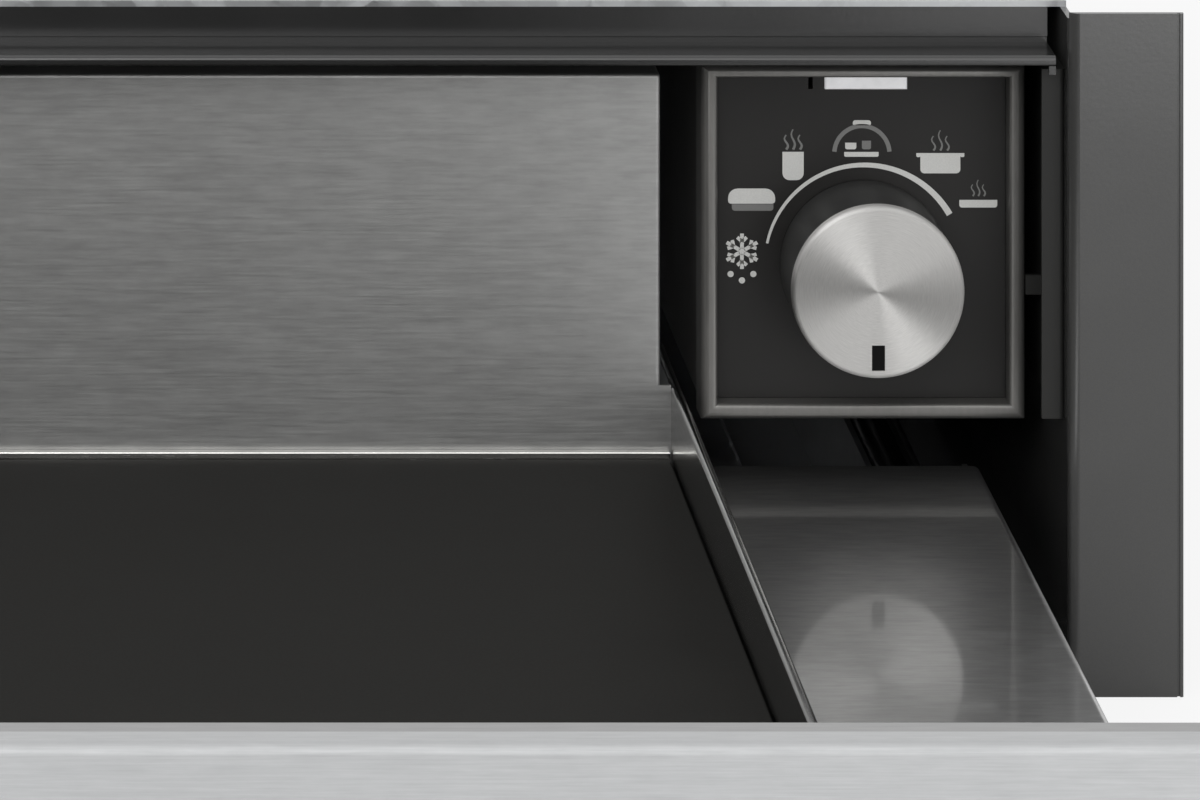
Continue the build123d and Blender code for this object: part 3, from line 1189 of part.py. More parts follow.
def skirt_rivets():
    """Rivets of the right inner rail, heads on the outside of the skirt."""
    ys = runner_rivet_ys(INNER_START - TRAVEL, INNER_LENGTH)
    return [rivet(SKIRT_X, SKIRT_X - DRAWER_SHEET - RUNNER_SHEET, y) for y in ys]


# ---------------------------------------------------------------- write every node
os.makedirs("parts", exist_ok=True)

save("base_plate", base_plate())
save("side_panel_right", side_panel())
save("side_panel_left", mirrored(side_panel()))
save("top_cover", top_cover())
save("top_rail", top_rail())
save("rear_panel", rear_panel())
save("housing_screws", *[place * flush_screw() for place in flush_places()],
     *[place * pan_screw() for place in rear_places()])

save("control_bezel", control_bezel())
save("control_panel", control_panel())
save("control_housing", control_housing())
save("control_hanger", control_hanger())
save("control_bracket", control_bracket())
save("control_board", *control_board())
save("indicator_lens", indicator_lens())
save("indicator_lamp", indicator_lamp())
save("rotary_switch", rotary_switch())
save("switch_nut", switch_nut())

save("terminal_block", terminal_block())
save("terminal_cover", terminal_cover())
save("cable_gland", cable_gland())
save("gland_locknut", gland_locknut())
save("latch_bracket", latch_bracket())
save("latch_body", latch_body())

save("front_panel", front_skin())
save("front_core", front_core())
save("front_liner", liner_screw_holes(front_liner()))
save("front_bumpers", *front_bumpers())
save("front_bracket_right", front_bracket())
save("front_bracket_left", mirrored(front_bracket()))
save("front_screws", *front_screws())
save("carrier_left", carrier_left())
save("side_tray", side_tray())
save("floor_plate", floor_plate())
save("glass_plate", glass_plate())
save("glass_trim", glass_trim())
save("side_wall_left", side_wall(COMPARTMENT_LEFT, COMPARTMENT_LEFT - WALL))
save("side_wall_right", side_wall(COMPARTMENT_RIGHT, COMPARTMENT_RIGHT + WALL))
save("rear_wall", rear_wall())
save("heating_mat", heating_mat())
save("heater_insulation", heater_insulation())
save("heater_cover", heater_cover())
save("temperature_limiter", temperature_limiter())

save("runner_brackets", *runner_brackets())
save("runner_outer_right", runner_outer())
save("runner_outer_left", mirrored(runner_outer()))
save("runner_middle_right", runner_middle())
save("runner_middle_left", mirrored(runner_middle()))
save("runner_inner_right", runner_inner())
save("runner_inner_left", mirrored(runner_inner()))
save("ball_cage_outer_right", *ball_cage(False))
save("ball_cage_outer_left", *[mirrored(piece) for piece in ball_cage(False)])
save("ball_cage_inner_right", *ball_cage(True))
save("ball_cage_inner_left", *[mirrored(piece) for piece in ball_cage(True)])
save("side_rivets", *side_rivets(), *[mirrored(piece) for piece in side_rivets()])
save("skirt_rivets", *skirt_rivets(), *[mirrored(piece) for piece in skirt_rivets()])

save("knob", knob())
save("knob_core", knob_core())
save("knob_marker", marker_box(0.0, MARKER_SINK))
save("switch_shaft", switch_shaft())
save("latch_plunger", latch_plunger())
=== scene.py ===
import math

import bmesh
import bpy
from bpy.props import FloatProperty, FloatVectorProperty, IntProperty, PointerProperty
from bpy.types import Operator, Panel, PropertyGroup
from mathutils import Matrix, Vector


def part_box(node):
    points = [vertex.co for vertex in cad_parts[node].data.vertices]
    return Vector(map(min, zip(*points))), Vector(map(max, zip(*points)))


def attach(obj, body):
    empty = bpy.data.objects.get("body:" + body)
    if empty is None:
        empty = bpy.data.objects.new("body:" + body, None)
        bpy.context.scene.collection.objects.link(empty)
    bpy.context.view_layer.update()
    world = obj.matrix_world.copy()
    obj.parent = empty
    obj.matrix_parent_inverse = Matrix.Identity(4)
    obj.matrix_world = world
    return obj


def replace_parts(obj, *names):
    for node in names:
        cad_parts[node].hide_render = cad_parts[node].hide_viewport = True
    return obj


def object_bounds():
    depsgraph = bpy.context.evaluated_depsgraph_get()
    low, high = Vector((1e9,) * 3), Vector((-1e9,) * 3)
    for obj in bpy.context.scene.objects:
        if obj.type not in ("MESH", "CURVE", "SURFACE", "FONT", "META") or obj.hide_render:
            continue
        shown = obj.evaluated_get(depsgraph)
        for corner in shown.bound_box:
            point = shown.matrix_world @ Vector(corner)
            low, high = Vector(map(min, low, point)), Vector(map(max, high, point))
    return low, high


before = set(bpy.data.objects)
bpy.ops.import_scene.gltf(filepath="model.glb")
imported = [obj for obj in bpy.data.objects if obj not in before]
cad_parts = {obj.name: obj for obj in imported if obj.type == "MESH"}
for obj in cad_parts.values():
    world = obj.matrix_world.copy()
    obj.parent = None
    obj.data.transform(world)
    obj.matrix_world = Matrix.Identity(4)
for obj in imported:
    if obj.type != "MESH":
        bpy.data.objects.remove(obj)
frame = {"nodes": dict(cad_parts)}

bl_info = {
    "name": "Warming Drawer",
    "version": (1, 0, 0),
    "blender": (4, 5, 0),
    "location": "View3D > Sidebar > Warming Drawer",
    "description": "Finishes, printed marks and small parts of a built-in warming drawer, and its stage",
    "category": "Object",
}

MM = 0.001
CAD_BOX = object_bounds()
FINISH_PREFIX = "finish_"      # keeps these materials apart from the frame's own

# The eye stands still and the picture plane is shifted: a point in the housing's front plane
# keeps its shape, as on a product shot made with a shift lens. Pixels are those of the photo.
PHOTO_WIDTH = 1200
PHOTO_HEIGHT = 800
VANISH_X = -346.0
VANISH_Y = -2119.0
PIXELS_AT_ONE_METRE = 8815.0
EYE_Y = -1.7165
EYE_Z = 0.548
SENSOR = 36.0                  # millimetres

SHARP = 35                     # edges bent more than this many degrees stay sharp
SHARP_TURNED = 40              # the same for screws and rivets
MERGE = 1e-7                   # points closer than this are one, in a piece made here
WELD = 1e-6                    # the same for a CAD node
HOUSING_RIVET = 3.8 * MM       # reach of a rivet from the top of its head
SKIRT_RIVET = 3.6 * MM
SPUN_MAP = "spun"              # coordinates round the knob and out from its middle


# ---------------------------------------------------------------- sizes and colours
def length(name, description, default):
    """A size in metres."""
    return FloatProperty(name=name, description=description, default=default, min=0.0,
                         precision=5, unit="LENGTH")


def colour(name, description, *default):
    """A colour, as red, green and blue."""
    return FloatVectorProperty(name=name, description=description, default=default, size=3,
                               min=0.0, max=1.0, subtype="COLOR")


def share(name, description, default):
    """A plain number from 0 to 1."""
    return FloatProperty(name=name, description=description, default=default, min=0.0, max=1.0,
                         subtype="FACTOR")


def strength(name, description, default):
    """A strength of light."""
    return FloatProperty(name=name, description=description, default=default, min=0.0)


def count(name, description, default, least):
    """A whole number."""
    return IntProperty(name=name, description=description, default=default, min=least)


class StageSettings(PropertyGroup):
    """The floor and the light around the drawer."""
    floor_size: length("Floor Size", "Side of the square floor", 24.0)
    floor_colour: colour("Floor Colour", "Pale studio floor", 0.86, 0.86, 0.86)
    floor_glow: share("Floor Glow", "Share of plain white that the camera sees in the floor", 0.85)
    daylight: strength("Daylight", "Strength of the even light from all sides", 0.70)
    key_power: strength("Key Lamp", "Power of the lamp above the drawer, in watts", 20.0)
    side_power: strength("Side Lamp", "Power of the lamp at the right, in watts", 1.2)
    low_power: strength("Low Lamp", "Power of the card by the floor at the right, in watts", 1.1)


class FinishSettings(PropertyGroup):
    """Colours of the finishes."""
    housing: colour("Housing", "Powder coat of the flanges", 0.042, 0.042, 0.041)
    # Painted shade: the rail takes the flanges' powder coat at under half their tone, and no glossier, so
    # that its ledge and hem render as dark as shade makes them.
    rail: colour("Rail", "Glossier coat of the rail", 0.019, 0.019, 0.019)
    # Painted shade: the strip beside the controls takes the flanges' powder coat at under half their tone,
    # for the shade it stands in.
    bracket: colour("Bracket", "Darker coat of the strip beside the controls", 0.018, 0.018, 0.017)
    tray: colour("Tray", "Smooth steel beside the compartment", 0.33, 0.33, 0.33)
    galvanised: colour("Galvanised", "Zinc-coated sheet", 0.50, 0.51, 0.52)
    front: colour("Front", "Brushed steel of the front", 0.50, 0.505, 0.51)
    # Painted shade: the liner's rim is the front's brushed steel at a lower tone, so that this upward strip
    # renders darker than the fold in front of it.
    liner: colour("Liner", "Rim behind the skin of the front", 0.39, 0.39, 0.39)
    drawer: colour("Drawer", "Brushed steel of the drawer", 0.385, 0.385, 0.38)
    wall: colour("Walls", "Polished steel of the side walls", 0.34, 0.34, 0.335)
    trim: colour("Trim", "Bright strip behind the glass", 0.72, 0.71, 0.68)
    glass: colour("Glass", "Black glass floor", 0.0185, 0.018, 0.0168)
    runner: colour("Runners", "Black passivated runners", 0.070, 0.070, 0.072)
    screw: colour("Screws", "Zinc-plated screws and rivets", 0.46, 0.46, 0.47)
    bezel: colour("Bezel", "Satin grey frame of the controls", 0.20, 0.196, 0.187)
    panel: colour("Panel", "Satin black face of the controls", 0.015, 0.0142, 0.0135)
    marker: colour("Marker", "Pointer let into the knob", 0.004, 0.004, 0.004)
    # Painted light: the control housing is a lighter copy of the moulded black, so that its wall in the
    # dark gap beside the controls shows lit.
    module: colour("Control Housing", "Moulded housing behind the panel", 0.11, 0.105, 0.10)
    black: colour("Black Plastic", "Moulded black parts", 0.040, 0.040, 0.039)
    grey: colour("Grey Plastic", "Moulded grey parts", 0.33, 0.33, 0.33)
    knob: colour("Knob", "Spun aluminium face of the knob", 0.56, 0.553, 0.54)
    lens: colour("Lens", "Milky lens of the pilot lamp", 0.62, 0.62, 0.63)
    board: colour("Board", "Solder resist of the circuit board", 0.030, 0.13, 0.060)
    insulation: colour("Insulation", "Fibre board", 0.74, 0.70, 0.62)
    silicone: colour("Silicone", "Heating mat", 0.34, 0.075, 0.038)
    rubber: colour("Rubber", "Buffers", 0.16, 0.16, 0.16)
    print_light: colour("Light Print", "Bright printed marks", 0.62, 0.62, 0.60)
    print_grey: colour("Grey Print", "Dim printed marks", 0.19, 0.19, 0.185)


class RailSettings(PropertyGroup):
    """The rail across the top of the opening."""
    sheet: length("Rail Sheet", "Thickness of its sheet", 1.2 * MM)
    drop: length("Rail Drop", "Ledge below the foot of the cover sheet", 7.1 * MM)
    ledge: length("Rail Ledge", "Depth of the ledge in front of the web", 10.7 * MM)
    hem: length("Rail Hem", "Height of the hem along the ledge", 1.9 * MM)
    bend: length("Rail Bend", "Rounding of the hem", 0.8 * MM)
    crease: length("Rail Crease", "Height of the groove at the foot of the web", 1.0 * MM)
    crease_depth: length("Crease Depth", "Depth of that groove", 0.7 * MM)
    foot: length("Rail Foot", "Fold under the cover, behind the web", 13.3 * MM)
    tab: length("Rail Tab", "Width of the small tab at each end", 1.3 * MM)
    tab_drop: length("Tab Drop", "Foot of the tab below the ledge", 3.6 * MM)


class FrameSettings(PropertyGroup):
    """The rounded frame of the controls."""
    border: length("Frame Border", "Width of the frame at its sides and foot", 3.2 * MM)
    top_border: length("Frame Head", "Width of the frame at its head", 2.3 * MM)
    head_rise: length("Head Rise", "Height of the frame's head above its plain solid", 1.4 * MM)
    outer_edge: length("Outer Edge", "Rounding of the outer edge", 1.9 * MM)
    inner_edge: length("Inner Edge", "Rounding of the inner edge", 0.9 * MM)


class FastenerSettings(PropertyGroup):
    """Screws and rivets."""
    steps: count("Fastener Steps", "Facets round a screw or rivet", 24, 8)
    recess: share("Recess", "Reach of the cross recess as a share of the head's radius", 0.52)
    recess_depth: length("Recess Depth", "Depth of the cross recess", 1.1 * MM)
    seed: count("Seed", "Chance turn of each screw", 7, 0)


class PrintSettings(PropertyGroup):
    """Marks printed on the control panel."""
    thickness: length("Print Thickness", "How far the print stands on the panel", 0.03 * MM)
    scale_radius: length("Scale Radius", "Middle of the curved scale round the knob", 19.56 * MM)
    scale_start: length("Scale Start", "Stroke of the scale at its cool end", 0.5 * MM)
    scale_end: length("Scale End", "Stroke of the scale at its hot end", 1.25 * MM)
    flake_radius: length("Snowflake Radius", "Reach of the snowflake's arms", 3.5 * MM)
    flake_stroke: length("Snowflake Stroke", "Width of the snowflake's arms", 0.75 * MM)
    steam_height: length("Steam Height", "Height of the steam above the dishes", 4.0 * MM)


class KnobSettings(PropertyGroup):
    """The knob's turned cap."""
    steps: count("Steps", "Facets round the knob", 144, 24)
    rings: count("Rings", "Rings of faces from the middle to the rim", 10, 4)
    rim: length("Rim", "Radius of the rounded rim", 0.9 * MM)
    sheet: length("Cap Sheet", "Thickness of the cap's metal", 0.9 * MM)
    groove: length("Groove", "Depth of the turning marks", 0.004 * MM)


class DrawerSettings(PropertyGroup):
    """Everything that the sidebar shows."""
    stage: PointerProperty(type=StageSettings)
    finish: PointerProperty(type=FinishSettings)
    marks: PointerProperty(type=PrintSettings)
    knob: PointerProperty(type=KnobSettings)
    rail: PointerProperty(type=RailSettings)
    frame: PointerProperty(type=FrameSettings)
    fastener: PointerProperty(type=FastenerSettings)


def settings():
    """The settings of the open scene."""
    return bpy.context.scene.warming_drawer


def linked(thing):
    """The object, put into the scene."""
    bpy.context.scene.collection.objects.link(thing)
    return thing


def add_node(tree, kind, inputs=None, **options):
    """A node with its options set and its inputs filled or linked."""
    node = tree.nodes.new(kind)
    for option, value in options.items():
        setattr(node, option, value)
    for socket, value in (inputs or {}).items():
        if isinstance(value, bpy.types.NodeSocket):
            tree.links.new(value, node.inputs[socket])
        else:
            node.inputs[socket].default_value = value
    return node


# ---------------------------------------------------------------- materials
class Finish:
    """A material built a node at a time round its surface shader."""

    def __init__(self, name, base, rough, metal=0.0, **sockets):
        self.material = bpy.data.materials.new(FINISH_PREFIX + name)
        self.material.use_nodes = True
        self.tree = self.material.node_tree
        self.shader = self.tree.nodes["Principled BSDF"]
        self.base = tuple(base)
        self.rough = rough
        self.shader.inputs["Base Color"].default_value = (*self.base, 1.0)
        self.shader.inputs["Roughness"].default_value = rough
        self.shader.inputs["Metallic"].default_value = metal
        for socket, value in sockets.items():
            self.shader.inputs[socket.replace("_", " ")].default_value = value
        self.normal = None

    def add(self, kind, inputs=None, **options):
        """A node of this material."""
        return add_node(self.tree, kind, inputs, **options)

    def place(self, stretch=(1.0, 1.0, 1.0)):
        """Object coordinates, stretched."""
        spot = self.add("ShaderNodeTexCoord").outputs["Object"]
        return self.add("ShaderNodeMapping", {"Vector": spot, "Scale": stretch}).outputs[0]

    def noise(self, size, detail=3.0, rough=0.55, stretch=(1.0, 1.0, 1.0)):
        """Noise whose grains are about the given size in metres."""
        inputs = {"Vector": self.place(stretch), "Scale": 1.0 / size, "Detail": detail, "Roughness": rough}
        return self.add("ShaderNodeTexNoise", inputs).outputs["Fac"]

    def cells(self, size, stretch=(1.0, 1.0, 1.0)):
        """Cells of about the given size, each with its own grey."""
        inputs = {"Vector": self.place(stretch), "Scale": 1.0 / size}
        node = self.add("ShaderNodeTexVoronoi", inputs)
        return self.add("ShaderNodeSeparateColor", {"Color": node.outputs["Color"]}).outputs[0]

    def span(self, source, start=0.3, end=0.7, low=0.0, high=1.0):
        """The source's values from start to end, spread from low to high."""
        inputs = {"Value": source, "From Min": start, "From Max": end, "To Min": low, "To Max": high}
        return self.add("ShaderNodeMapRange", inputs).outputs[0]

    def sum(self, first, second, share_of_second=0.5):
        """A blend of two values."""
        node = self.add("ShaderNodeMix", {0: share_of_second}, data_type="FLOAT")
        self.tree.links.new(first, node.inputs[2])
        self.tree.links.new(second, node.inputs[3])
        return node.outputs[0]

    def mottle(self, fine, broad, dark, light, spread, relief):
        """Colour by a fine and a broad noise, roughness by the broad one, relief by the fine one."""
        self.tint(self.sum(self.span(fine), self.span(broad)), dark, light)
        self.vary_rough(broad, spread)
        self.bump(fine, relief)

    def tint(self, source, dark, light):
        """The base colour, from dark to light times itself as the source goes from 0 to 1."""
        node = self.add("ShaderNodeMix", {0: source}, data_type="RGBA")
        node.inputs[6].default_value = (*[c * dark for c in self.base], 1.0)
        node.inputs[7].default_value = (*[min(1.0, c * light) for c in self.base], 1.0)
        self.tree.links.new(node.outputs[2], self.shader.inputs["Base Color"])
        return node.outputs[2]

    def vary_rough(self, source, spread):
        """Roughness around its plain value."""
        value = self.span(source, 0.25, 0.75, max(0.02, self.rough - spread), min(1.0, self.rough + spread))
        self.tree.links.new(value, self.shader.inputs["Roughness"])

    def bump(self, source, depth):
        """Relief of the given depth in metres; a second call lies over the first."""
        inputs = {"Height": source, "Distance": depth, "Strength": 1.0}
        if self.normal is not None:
            inputs["Normal"] = self.normal
        self.normal = self.add("ShaderNodeBump", inputs).outputs[0]
        self.tree.links.new(self.normal, self.shader.inputs["Normal"])


# Scales of the coordinates that draw a grain out along one axis
LONG_X = (0.02, 1.0, 1.0)
LONG_Y = (1.0, 0.02, 1.0)
LONG_Z = (1.0, 1.0, 0.02)


def brushed_steel(name, base, rough, stretch, contrast, metal=1.0, **sockets):
    """Sheet steel with long scratches, broken streaks and a soft cloudy sheen."""
    finish = Finish(name, base, rough, metal, **sockets)
    grain = 0.9 * MM
    shorter = [s if s == 1.0 else 6.0 * s for s in stretch]
    broken = [s if s == 1.0 else 18.0 * s for s in stretch]
    hair = finish.noise(grain / 3, 4.0, 0.65, stretch)
    scratch = finish.noise(grain, 3.0, 0.6, shorter)
    streak = finish.noise(2.6 * grain, 3.0, 0.6, broken)
    cloud = finish.noise(40 * MM, 2.0, 0.5)
    mixed = finish.sum(finish.sum(scratch, streak), cloud, 0.2)
    finish.tint(finish.span(mixed, 0.38, 0.62), 1.0 - contrast, 1.0 + contrast)
    finish.vary_rough(hair, 0.07)
    finish.bump(hair, 0.006 * MM)


def housing_paint(name, base, rough, shine):
    """Dark coat with a fine orange peel and a few dull spots."""
    finish = Finish(name, base, rough, Specular_IOR_Level=shine)
    peel = finish.noise(0.9 * MM, 2.0, 0.5)
    speck = finish.noise(0.25 * MM, 2.0, 0.7)
    cloud = finish.noise(60 * MM, 3.0, 0.55)
    finish.bump(peel, 0.012 * MM)
    finish.mottle(speck, cloud, 0.84, 1.16, 0.06, 0.004 * MM)


def galvanised_steel(base):
    """Zinc coat with crystals of mixed tone under a dull film."""
    finish = Finish("galvanised_steel", base, 0.40, 0.95)
    crystal = finish.cells(7 * MM)
    small = finish.cells(2.6 * MM)
    film = finish.noise(25 * MM, 4.0, 0.6)
    mixed = finish.sum(finish.sum(crystal, small, 0.35), finish.span(film), 0.35)
    finish.tint(mixed, 0.80, 1.16)
    finish.vary_rough(mixed, 0.10)
    finish.bump(finish.noise(1.2 * MM, 3.0, 0.5), 0.006 * MM)


def black_glass(base):
    """Black glass with a faint etched grain that keeps it from mirroring."""
    finish = Finish("dark_glass", base, 0.55, IOR=1.45, Specular_IOR_Level=0.035)
    grain = finish.noise(0.6 * MM, 3.0, 0.6)
    smear = finish.noise(38 * MM, 4.0, 0.55, (0.6, 1.0, 1.0))
    finish.mottle(grain, smear, 0.75, 1.3, 0.05, 0.003 * MM)


def plated_steel(name, base, rough):
    """Plated small parts and profiles with a fine drawn grain."""
    finish = Finish(name, base, rough, 1.0)
    grain = finish.noise(0.5 * MM, 3.0, 0.6)
    stain = finish.noise(9 * MM, 3.0, 0.6)
    finish.mottle(grain, stain, 0.82, 1.15, 0.08, 0.004 * MM)


def moulded_plastic(name, base, rough, grain=0.35 * MM, relief=0.01 * MM, **sockets):
    """Moulded plastic with an eroded fine grain."""
    finish = Finish(name, base, rough, **sockets)
    pits = finish.noise(grain, 2.0, 0.6)
    flow = finish.noise(22 * MM, 3.0, 0.5)
    finish.mottle(pits, flow, 0.85, 1.16, 0.06, relief)


def spun_aluminium(base, groove):
    """Turned face: the shine fans out from the middle, over fine concentric marks."""
    finish = Finish("knob_aluminium", base, 0.46, 1.0, Anisotropic=0.95)
    along = finish.add("ShaderNodeTangent", direction_type="UV_MAP", uv_map=SPUN_MAP)
    finish.tree.links.new(along.outputs[0], finish.shader.inputs["Tangent"])
    turn = finish.add("ShaderNodeUVMap", uv_map=SPUN_MAP).outputs[0]
    across = finish.add("ShaderNodeMapping", {"Vector": turn, "Scale": (1.0, 0.004, 1.0)}).outputs[0]
    inputs = {"Vector": across, "Scale": 1.0 / (0.16 * MM), "Detail": 4.0, "Roughness": 0.7}
    marks = finish.add("ShaderNodeTexNoise", inputs).outputs["Fac"]
    finish.tint(finish.span(marks), 0.86, 1.12)
    finish.vary_rough(marks, 0.06)
    finish.bump(marks, groove)


def lit_lens(base):
    """Milky plastic with the pilot lamp's light in it."""
    finish = Finish("lens_white", base, 0.28, Emission_Strength=0.5)
    cloud = finish.noise(3 * MM, 2.0, 0.5)
    light = finish.tint(finish.span(cloud), 0.96, 1.08)
    finish.tree.links.new(light, finish.shader.inputs["Emission Color"])
    finish.bump(finish.noise(0.5 * MM), 0.002 * MM)


def fibre_board(name, base):
    """Pressed fibres in all directions."""
    finish = Finish(name, base, 0.9)
    fibre = finish.sum(finish.noise(0.5 * MM, 3.0, 0.7, (1.0, 0.1, 1.0)),
                       finish.noise(0.5 * MM, 3.0, 0.7, (0.1, 1.0, 1.0)))
    finish.tint(finish.span(fibre, 0.4, 0.6), 0.80, 1.12)
    finish.bump(fibre, 0.08 * MM)


def silicone_mat(base):
    """Glass-cloth silicone: a fine weave shows through the rubber."""
    finish = Finish("silicone_red", base, 0.62)
    inputs = {"Vector": finish.place(), "Scale": 260.0, "Distortion": 0.3}
    warp, weft = [finish.add("ShaderNodeTexWave", inputs, bands_direction=way) for way in "XY"]
    cloth = finish.sum(warp.outputs["Fac"], weft.outputs["Fac"])
    finish.tint(cloth, 0.85, 1.15)
    finish.bump(cloth, 0.05 * MM)


def circuit_board(base):
    """Solder resist over faint copper tracks."""
    finish = Finish("board_green", base, 0.35)
    tracks = finish.cells(3.5 * MM, (1.0, 0.25, 1.0))
    finish.tint(finish.span(tracks, 0.45, 0.55), 0.8, 1.35)
    finish.bump(finish.span(tracks, 0.48, 0.52), 0.02 * MM)


def printed_ink(name, base, glow):
    """Screen print: flat ink with a slightly uneven edge tone, and a painted glow: the ink emits its own
    colour though it is no lamp.
    """
    finish = Finish(name, base, 0.55, Emission_Strength=glow)
    dots = finish.noise(0.2 * MM, 2.0, 0.6)
    ink = finish.tint(finish.span(dots), 0.93, 1.05)
    # painted glow: the ink's colour is also its emission
    finish.tree.links.new(ink, finish.shader.inputs["Emission Color"])
    finish.bump(dots, 0.002 * MM)


def make_finishes(tone):
    """The finish of every slot, and of the parts that differ from their slot."""
    housing_paint("housing_paint", tone.housing, 0.20, 0.9)
    # painted shade: the flanges' powder coat made darker for the rail
    housing_paint("rail_paint_shaded", tone.rail, 0.22, 0.8)
    # painted shade: a darker copy of the flanges' coat for the strip beside the controls
    housing_paint("bracket_paint_shaded", tone.bracket, 0.5, 0.3)
    galvanised_steel(tone.galvanised)
    brushed_steel("front_steel", tone.front, 0.74, LONG_X, 0.035)
    # painted shade: the front's steel made darker for the liner's rim
    brushed_steel("liner_steel_shaded", tone.liner, 0.74, LONG_X, 0.035)
    brushed_steel("drawer_steel", tone.drawer, 0.48, LONG_X, 0.10)
    brushed_steel("tray_steel", tone.tray, 0.36, LONG_X, 0.12, Coat_Weight=0.6, Coat_Roughness=0.06,
                  Coat_IOR=1.45)
    brushed_steel("wall_steel", tone.wall, 0.18, LONG_Y, 0.10)
    brushed_steel("bright_trim", tone.trim, 0.22, LONG_X, 0.06)
    brushed_steel("bezel_metal", tone.bezel, 0.38, LONG_Z, 0.06, 0.6)
    black_glass(tone.glass)
    plated_steel("runner_steel", tone.runner, 0.42)
    plated_steel("screw_steel", tone.screw, 0.32)
    moulded_plastic("panel_black", tone.panel, 0.42, 0.3 * MM, 0.004 * MM, Specular_IOR_Level=0.3)
    moulded_plastic("marker_black", tone.marker, 0.7, Specular_IOR_Level=0.1)
    # painted light: the moulded black made lighter for the control housing
    moulded_plastic("module_black_lit", tone.module, 0.5)
    moulded_plastic("moulded_black", tone.black, 0.5)
    moulded_plastic("moulded_grey", tone.grey, 0.5)
    moulded_plastic("buffer_rubber", tone.rubber, 0.75, 0.6 * MM, 0.02 * MM)
    lit_lens(tone.lens)
    circuit_board(tone.board)
    spun_aluminium(tone.knob, settings().knob.groove)
    fibre_board("insulation_white", tone.insulation)
    fibre_board("front_foam", tone.insulation)
    silicone_mat(tone.silicone)
    # the last number is each print's painted glow
    printed_ink("print_light", tone.print_light, 0.05)
    printed_ink("print_grey", tone.print_grey, 0.02)


def finish_of(slot):
    """The material made for a slot."""
    found = bpy.data.materials.get(FINISH_PREFIX + slot)
    if found is None:
        raise RuntimeError(f"no finish was made for {slot}")
    return found


def dress(nodes, slot):
    """Give CAD nodes their finish."""
    for name in nodes:
        for place in frame["nodes"][name].material_slots:
            place.material = finish_of(slot)


def add_piece(name, mesh, body, slot, finish=None):
    """A mesh as a piece of the object, moving with a body, in its slot's finish or a named one."""
    piece = linked(bpy.data.objects.new(name, mesh))
    mesh.materials.clear()
    mesh.materials.append(finish_of(finish or slot))
    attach(piece, body)
    return piece


def mesh_from(bm, name, sharp_angle=None):
    """A mesh with its doubles merged and its faces turned outwards, smooth below the sharp angle."""
    bmesh.ops.remove_doubles(bm, verts=bm.verts, dist=MERGE)
    bmesh.ops.recalc_face_normals(bm, faces=bm.faces)
    mesh = bpy.data.meshes.new(name)
    bm.to_mesh(mesh)
    bm.free()
    if sharp_angle is not None:
        mesh.shade_smooth()
        mesh.set_sharp_from_angle(angle=math.radians(sharp_angle))
    return mesh


def applied(thing, name):
    """The mesh of an object with its modifiers applied."""
    bpy.context.view_layer.update()
    mesh = bpy.data.meshes.new_from_object(thing.evaluated_get(bpy.context.evaluated_depsgraph_get()))
    mesh.name = name
    return mesh


def cut_away(mesh, cutter, name):
    """The mesh less the cutter, by an exact boolean."""
    body = linked(bpy.data.objects.new("cut_body", mesh))
    tool = linked(bpy.data.objects.new("cut_tool", cutter))
    cut = body.modifiers.new("cut", "BOOLEAN")
    cut.operation, cut.solver, cut.object = "DIFFERENCE", "EXACT", tool
    result = applied(body, name)
    for item in (body, tool):
        bpy.data.objects.remove(item)
    return result


def arc_points(centre_u, centre_v, radius, start, end, steps):
    """Points of an arc in a plane; angles in degrees, both ends included."""
    turns = [math.radians(start + (end - start) * i / steps) for i in range(steps + 1)]
    return [(centre_u + radius * math.cos(t), centre_v + radius * math.sin(t)) for t in turns]


def braced(points, closed=True, reach=0.12 * MM):
    """The outline with a point close to both ends of each long side, so that it shades flat."""
    outline = []
    for i, (u, v) in enumerate(points):
        outline.append((u, v))
        if i == len(points) - 1 and not closed:
            break
        next_u, next_v = points[(i + 1) % len(points)]
        span = math.hypot(next_u - u, next_v - v)
        if span > 4 * reach:
            for part in (reach / span, 1 - reach / span):
                outline.append((u + (next_u - u) * part, v + (next_v - v) * part))
    return outline


def join_loops(bm, one, two):
    """Faces between two loops of as many points."""
    for i in range(len(one)):
        j = (i + 1) % len(one)
        bm.faces.new((one[i], one[j], two[j], two[i]))


def prism(bm, back, front):
    """Closed form between two outlines of as many points."""
    one, two = [[bm.verts.new(point) for point in outline] for outline in (back, front)]
    bm.faces.new(one[::-1])
    bm.faces.new(two)
    join_loops(bm, one, two)


